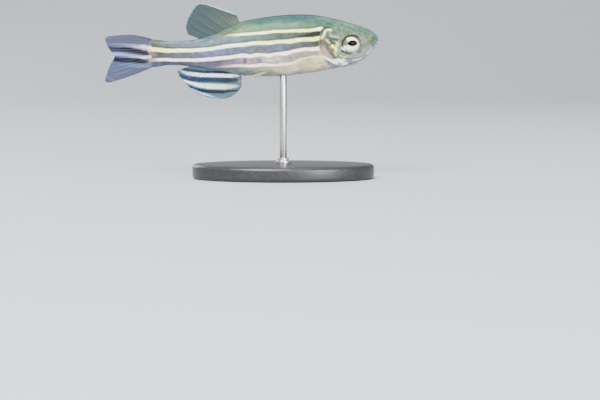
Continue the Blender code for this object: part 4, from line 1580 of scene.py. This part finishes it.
def makeBarbels(material):
    form = barbelForm
    last = form["points"] - 1
    for name, path in form["paths"].items():
        route = smoothCurve(range(len(path)), path)(np.linspace(0, len(path) - 1, form["points"]))
        for side, sign in sides:
            points = onBody(route[:, 0], sign * np.radians(route[:, 1]), route[:, 2])
            curve = bpy.data.curves.new(name, "CURVE")
            curve.dimensions = "3D"
            curve.bevel_depth = form["radius"] * mm
            curve.bevel_resolution = 3
            curve.use_fill_caps = True
            spline = curve.splines.new("POLY")
            spline.points.add(last)
            for number, (point, spot) in enumerate(zip(spline.points, points)):
                point.co = (*spot, 1)
                point.radius = 1 + (form["tip"] - 1) * (number / last) ** 0.8
            barbel = bpy.data.objects.new(f"{name}_piece_{side}", curve)
            bpy.context.collection.objects.link(barbel)
            makeActive(barbel)
            bpy.ops.object.convert(target="MESH")
            barbel = bpy.context.object
            closeSeams(barbel, 1e-6)
            finishPiece(barbel, material, (f"{name}_{side}",))
    print("barbels")


# The stand: an oval base and a rod with a collar

standForm = {
    "length": 27.0,
    "width": 17.0,
    "thickness": 2.2,
    "rod": 1.1,
    "rodFoot": 1.0,
    "collar": 2.3,
    "collarHeight": 0.55,
    "collarStep": (0.3, 0.35),  # how far its raised top stands in and up
    # roundings: width, segments and the angle from which edges are rounded
    "baseEdge": (0.55, 6, 50),
    "rodEdge": (0.06, 2, 50),
    "collarEdge": (0.07, 3, 40),
    "baseColours": ((0.11, 0.11, 0.115), (0.15, 0.15, 0.155)),
    "steelColours": ((0.62, 0.62, 0.60), (0.80, 0.80, 0.78)),
    "sharpOver": 40,
}


def baseFinish():
    finish = Finish("satin black base")
    finish.fishPlace()
    grain = finish.noise(0.5, 4.0)
    return finish.surface({
        "Base Color": finish.mix(finish.ramp(grain, 0.3, 0.7), *standForm["baseColours"]),
        "Roughness": finish.ramp(grain, 0.3, 0.7, 0.30, 0.42),
        "Normal": finish.bump(finish.noise(0.12), 0.15, 0.00005),
    })


def rodFinish():
    finish = Finish("brushed steel rod")
    finish.fishPlace()
    brush = finish.noise(0.05, 3.0, (1, 1, 0.05))
    return finish.surface({
        "Base Color": finish.mix(brush, *standForm["steelColours"]),
        "Roughness": finish.ramp(brush, 0.2, 0.8, 0.22, 0.38),
        "Metallic": 1.0,
    })


def bevelEdges(obj, width, segments, degrees):
    bevel = obj.modifiers.new("rounding", "BEVEL")
    bevel.width = width
    bevel.segments = segments
    bevel.limit_method = "ANGLE"
    bevel.angle_limit = math.radians(degrees)
    applyModifiers(obj)


def upright(name, across, low, high, vertices):
    # a round post over the origin, from one height to another, in millimetres
    deselectAll()
    bpy.ops.mesh.primitive_cylinder_add(
        vertices=vertices, radius=across * mm / 2, depth=(high - low) * mm,
        location=(0, 0, (high + low) * mm / 2)
    )
    return newest(name)


def makeStand():
    form = standForm
    steel = rodFinish()

    def roundOff(obj, edge, material, nodes=()):
        width, segments, degrees = form[edge]
        bevelEdges(obj, width * mm, segments, degrees)
        finishPiece(obj, material, nodes, form["sharpOver"])

    base = upright("standBase", 1, 0, form["thickness"], 160)
    base.scale = (form["length"], form["width"], 1)
    bpy.ops.object.transform_apply(location=True, rotation=False, scale=True)
    roundOff(base, "baseEdge", baseFinish(), ("stand_base",))

    # the rod runs from the base up into the belly's skin
    belly = fish["axisHeight"] + float(outlineAt(math.sqrt(fish["snoutAhead"]))[1])
    rod = upright("standRod", form["rod"], form["rodFoot"], belly + 0.02, 48)
    bpy.ops.object.transform_apply(location=True, rotation=False, scale=False)
    roundOff(rod, "rodEdge", steel, ("stand_rod",))

    foot = form["thickness"] - 0.05
    collar = upright("rodCollar", form["collar"], foot, foot + form["collarHeight"], 64)
    bpy.ops.object.transform_apply(location=True, rotation=False, scale=False)
    selectForEdit("DESELECT")
    backToObject()
    for face in collar.data.polygons:
        face.select = face.normal.z > 0.9
    bpy.ops.object.mode_set(mode="EDIT")
    bpy.ops.mesh.select_mode(type="FACE")
    inwards, upwards = form["collarStep"]
    bpy.ops.mesh.inset(thickness=inwards * mm)
    bpy.ops.mesh.extrude_region_move(TRANSFORM_OT_translate={"value": (0, 0, upwards * mm)})
    backToObject()
    roundOff(collar, "collarEdge", steel)
    print("stand")


# Studio: a pale sweep, soft lights and the camera at the photograph's framing

studio = {
    "floorSize": 3.0,
    "wallBehind": 0.75,
    "wallHeight": 1.2,
    "sweep": (0.4, 24, 40),
    "paint": (0.66, 0.67, 0.68),
    "paintRoughness": 0.85,
    "air": (0.86, 0.92, 1.0, 1),
    "airStrength": 1.05,
    # name, where, power in watts, size
    "lights": (
        ("keyLight", (-0.14, -0.38, 0.38), 8.6, 0.34),
        ("fillLight", (0.26, -0.40, 0.11), 3.4, 0.22),
        ("topLight", (0.02, 0.12, 0.44), 1.0, 0.30),
        ("backLight", (-0.30, 0.36, 0.20), 1.2, 0.28),
    ),
    "litPoint": (-0.004, 0, 0.018),
    "pixelsWide": 600,
    "pixelsHigh": 400,
    "millimetresPerPixel": 0.1476,
    "snoutPixel": 378.0,
    "axisPixel": 45.8,  # the row of the fish's axis
    "fieldOfView": 20.0,
    "sensorWidth": 36,
    "clip": (0.005, 10),
}


def makeFloor():
    size = studio["floorSize"]
    deselectAll()
    bpy.ops.mesh.primitive_plane_add(size=size, location=(0, studio["wallBehind"] - size / 2, 0))
    floor = newest("studioFloor")
    bpy.ops.object.transform_apply(location=True, rotation=False, scale=False)
    rearEdge = max(v.co.y for v in floor.data.vertices)
    bpy.ops.object.mode_set(mode="EDIT")
    bpy.ops.mesh.select_mode(type="EDGE")
    bpy.ops.mesh.select_all(action="DESELECT")
    backToObject()
    for edge in floor.data.edges:
        edge.select = all(floor.data.vertices[v].co.y > rearEdge - 0.001 for v in edge.vertices)
    bpy.ops.object.mode_set(mode="EDIT")
    bpy.ops.mesh.extrude_region_move(TRANSFORM_OT_translate={"value": (0, 0, studio["wallHeight"])})
    backToObject()
    bevelEdges(floor, *studio["sweep"])
    paint = Finish("pale studio paint")
    floor.data.materials.append(
        paint.surface({"Base Color": studio["paint"], "Roughness": studio["paintRoughness"]})
    )
    floor.data.shade_smooth()


def makeLights():
    world = bpy.data.worlds.new("studio air")
    world.use_nodes = True
    air = world.node_tree.nodes["Background"]
    air.inputs["Color"].default_value = studio["air"]
    air.inputs["Strength"].default_value = studio["airStrength"]
    bpy.context.scene.world = world
    for name, spot, power, width in studio["lights"]:
        data = bpy.data.lights.new(name, "AREA")
        data.shape = "DISK"
        data.energy, data.size = power, width
        light = bpy.data.objects.new(name, data)
        bpy.context.collection.objects.link(light)
        light.location = spot
        towards = Vector(studio["litPoint"]) - Vector(spot)
        light.rotation_euler = towards.to_track_quat("-Z", "Y").to_euler()


def makeCamera():
    # the camera stands level with the fish and looks a little down, as the photograph frames it
    halfWide, halfHigh = studio["pixelsWide"] / 2, studio["pixelsHigh"] / 2
    half = math.tan(math.radians(studio["fieldOfView"] / 2))
    perPixel = half / halfWide
    depth = studio["millimetresPerPixel"] / perPixel * mm
    dip = math.atan((halfHigh - studio["axisPixel"]) * perPixel)
    sideways = (halfWide - studio["snoutPixel"]) * studio["millimetresPerPixel"] + fish["snoutAhead"]
    camera = bpy.data.objects.new("camera", bpy.data.cameras.new("camera"))
    bpy.context.collection.objects.link(camera)
    camera.data.sensor_fit = "HORIZONTAL"
    camera.data.sensor_width = studio["sensorWidth"]
    camera.data.lens = studio["sensorWidth"] / 2 / half
    camera.data.clip_start, camera.data.clip_end = studio["clip"]
    camera.location = (sideways * mm, -depth / math.cos(dip), fish["axisHeight"] * mm)
    camera.rotation_euler = (math.radians(90) - dip, 0, 0)
    bpy.context.scene.camera = camera
    print("studio")


makeFloor()
makeLights()
makeCamera()
skinPaint = skinFinish()
makeSkin(skinPaint)
makeScales(skinPaint)
makeEyes(eyeFinish())
makeFins()
makeBarbels(barbelFinish())
makeStand()
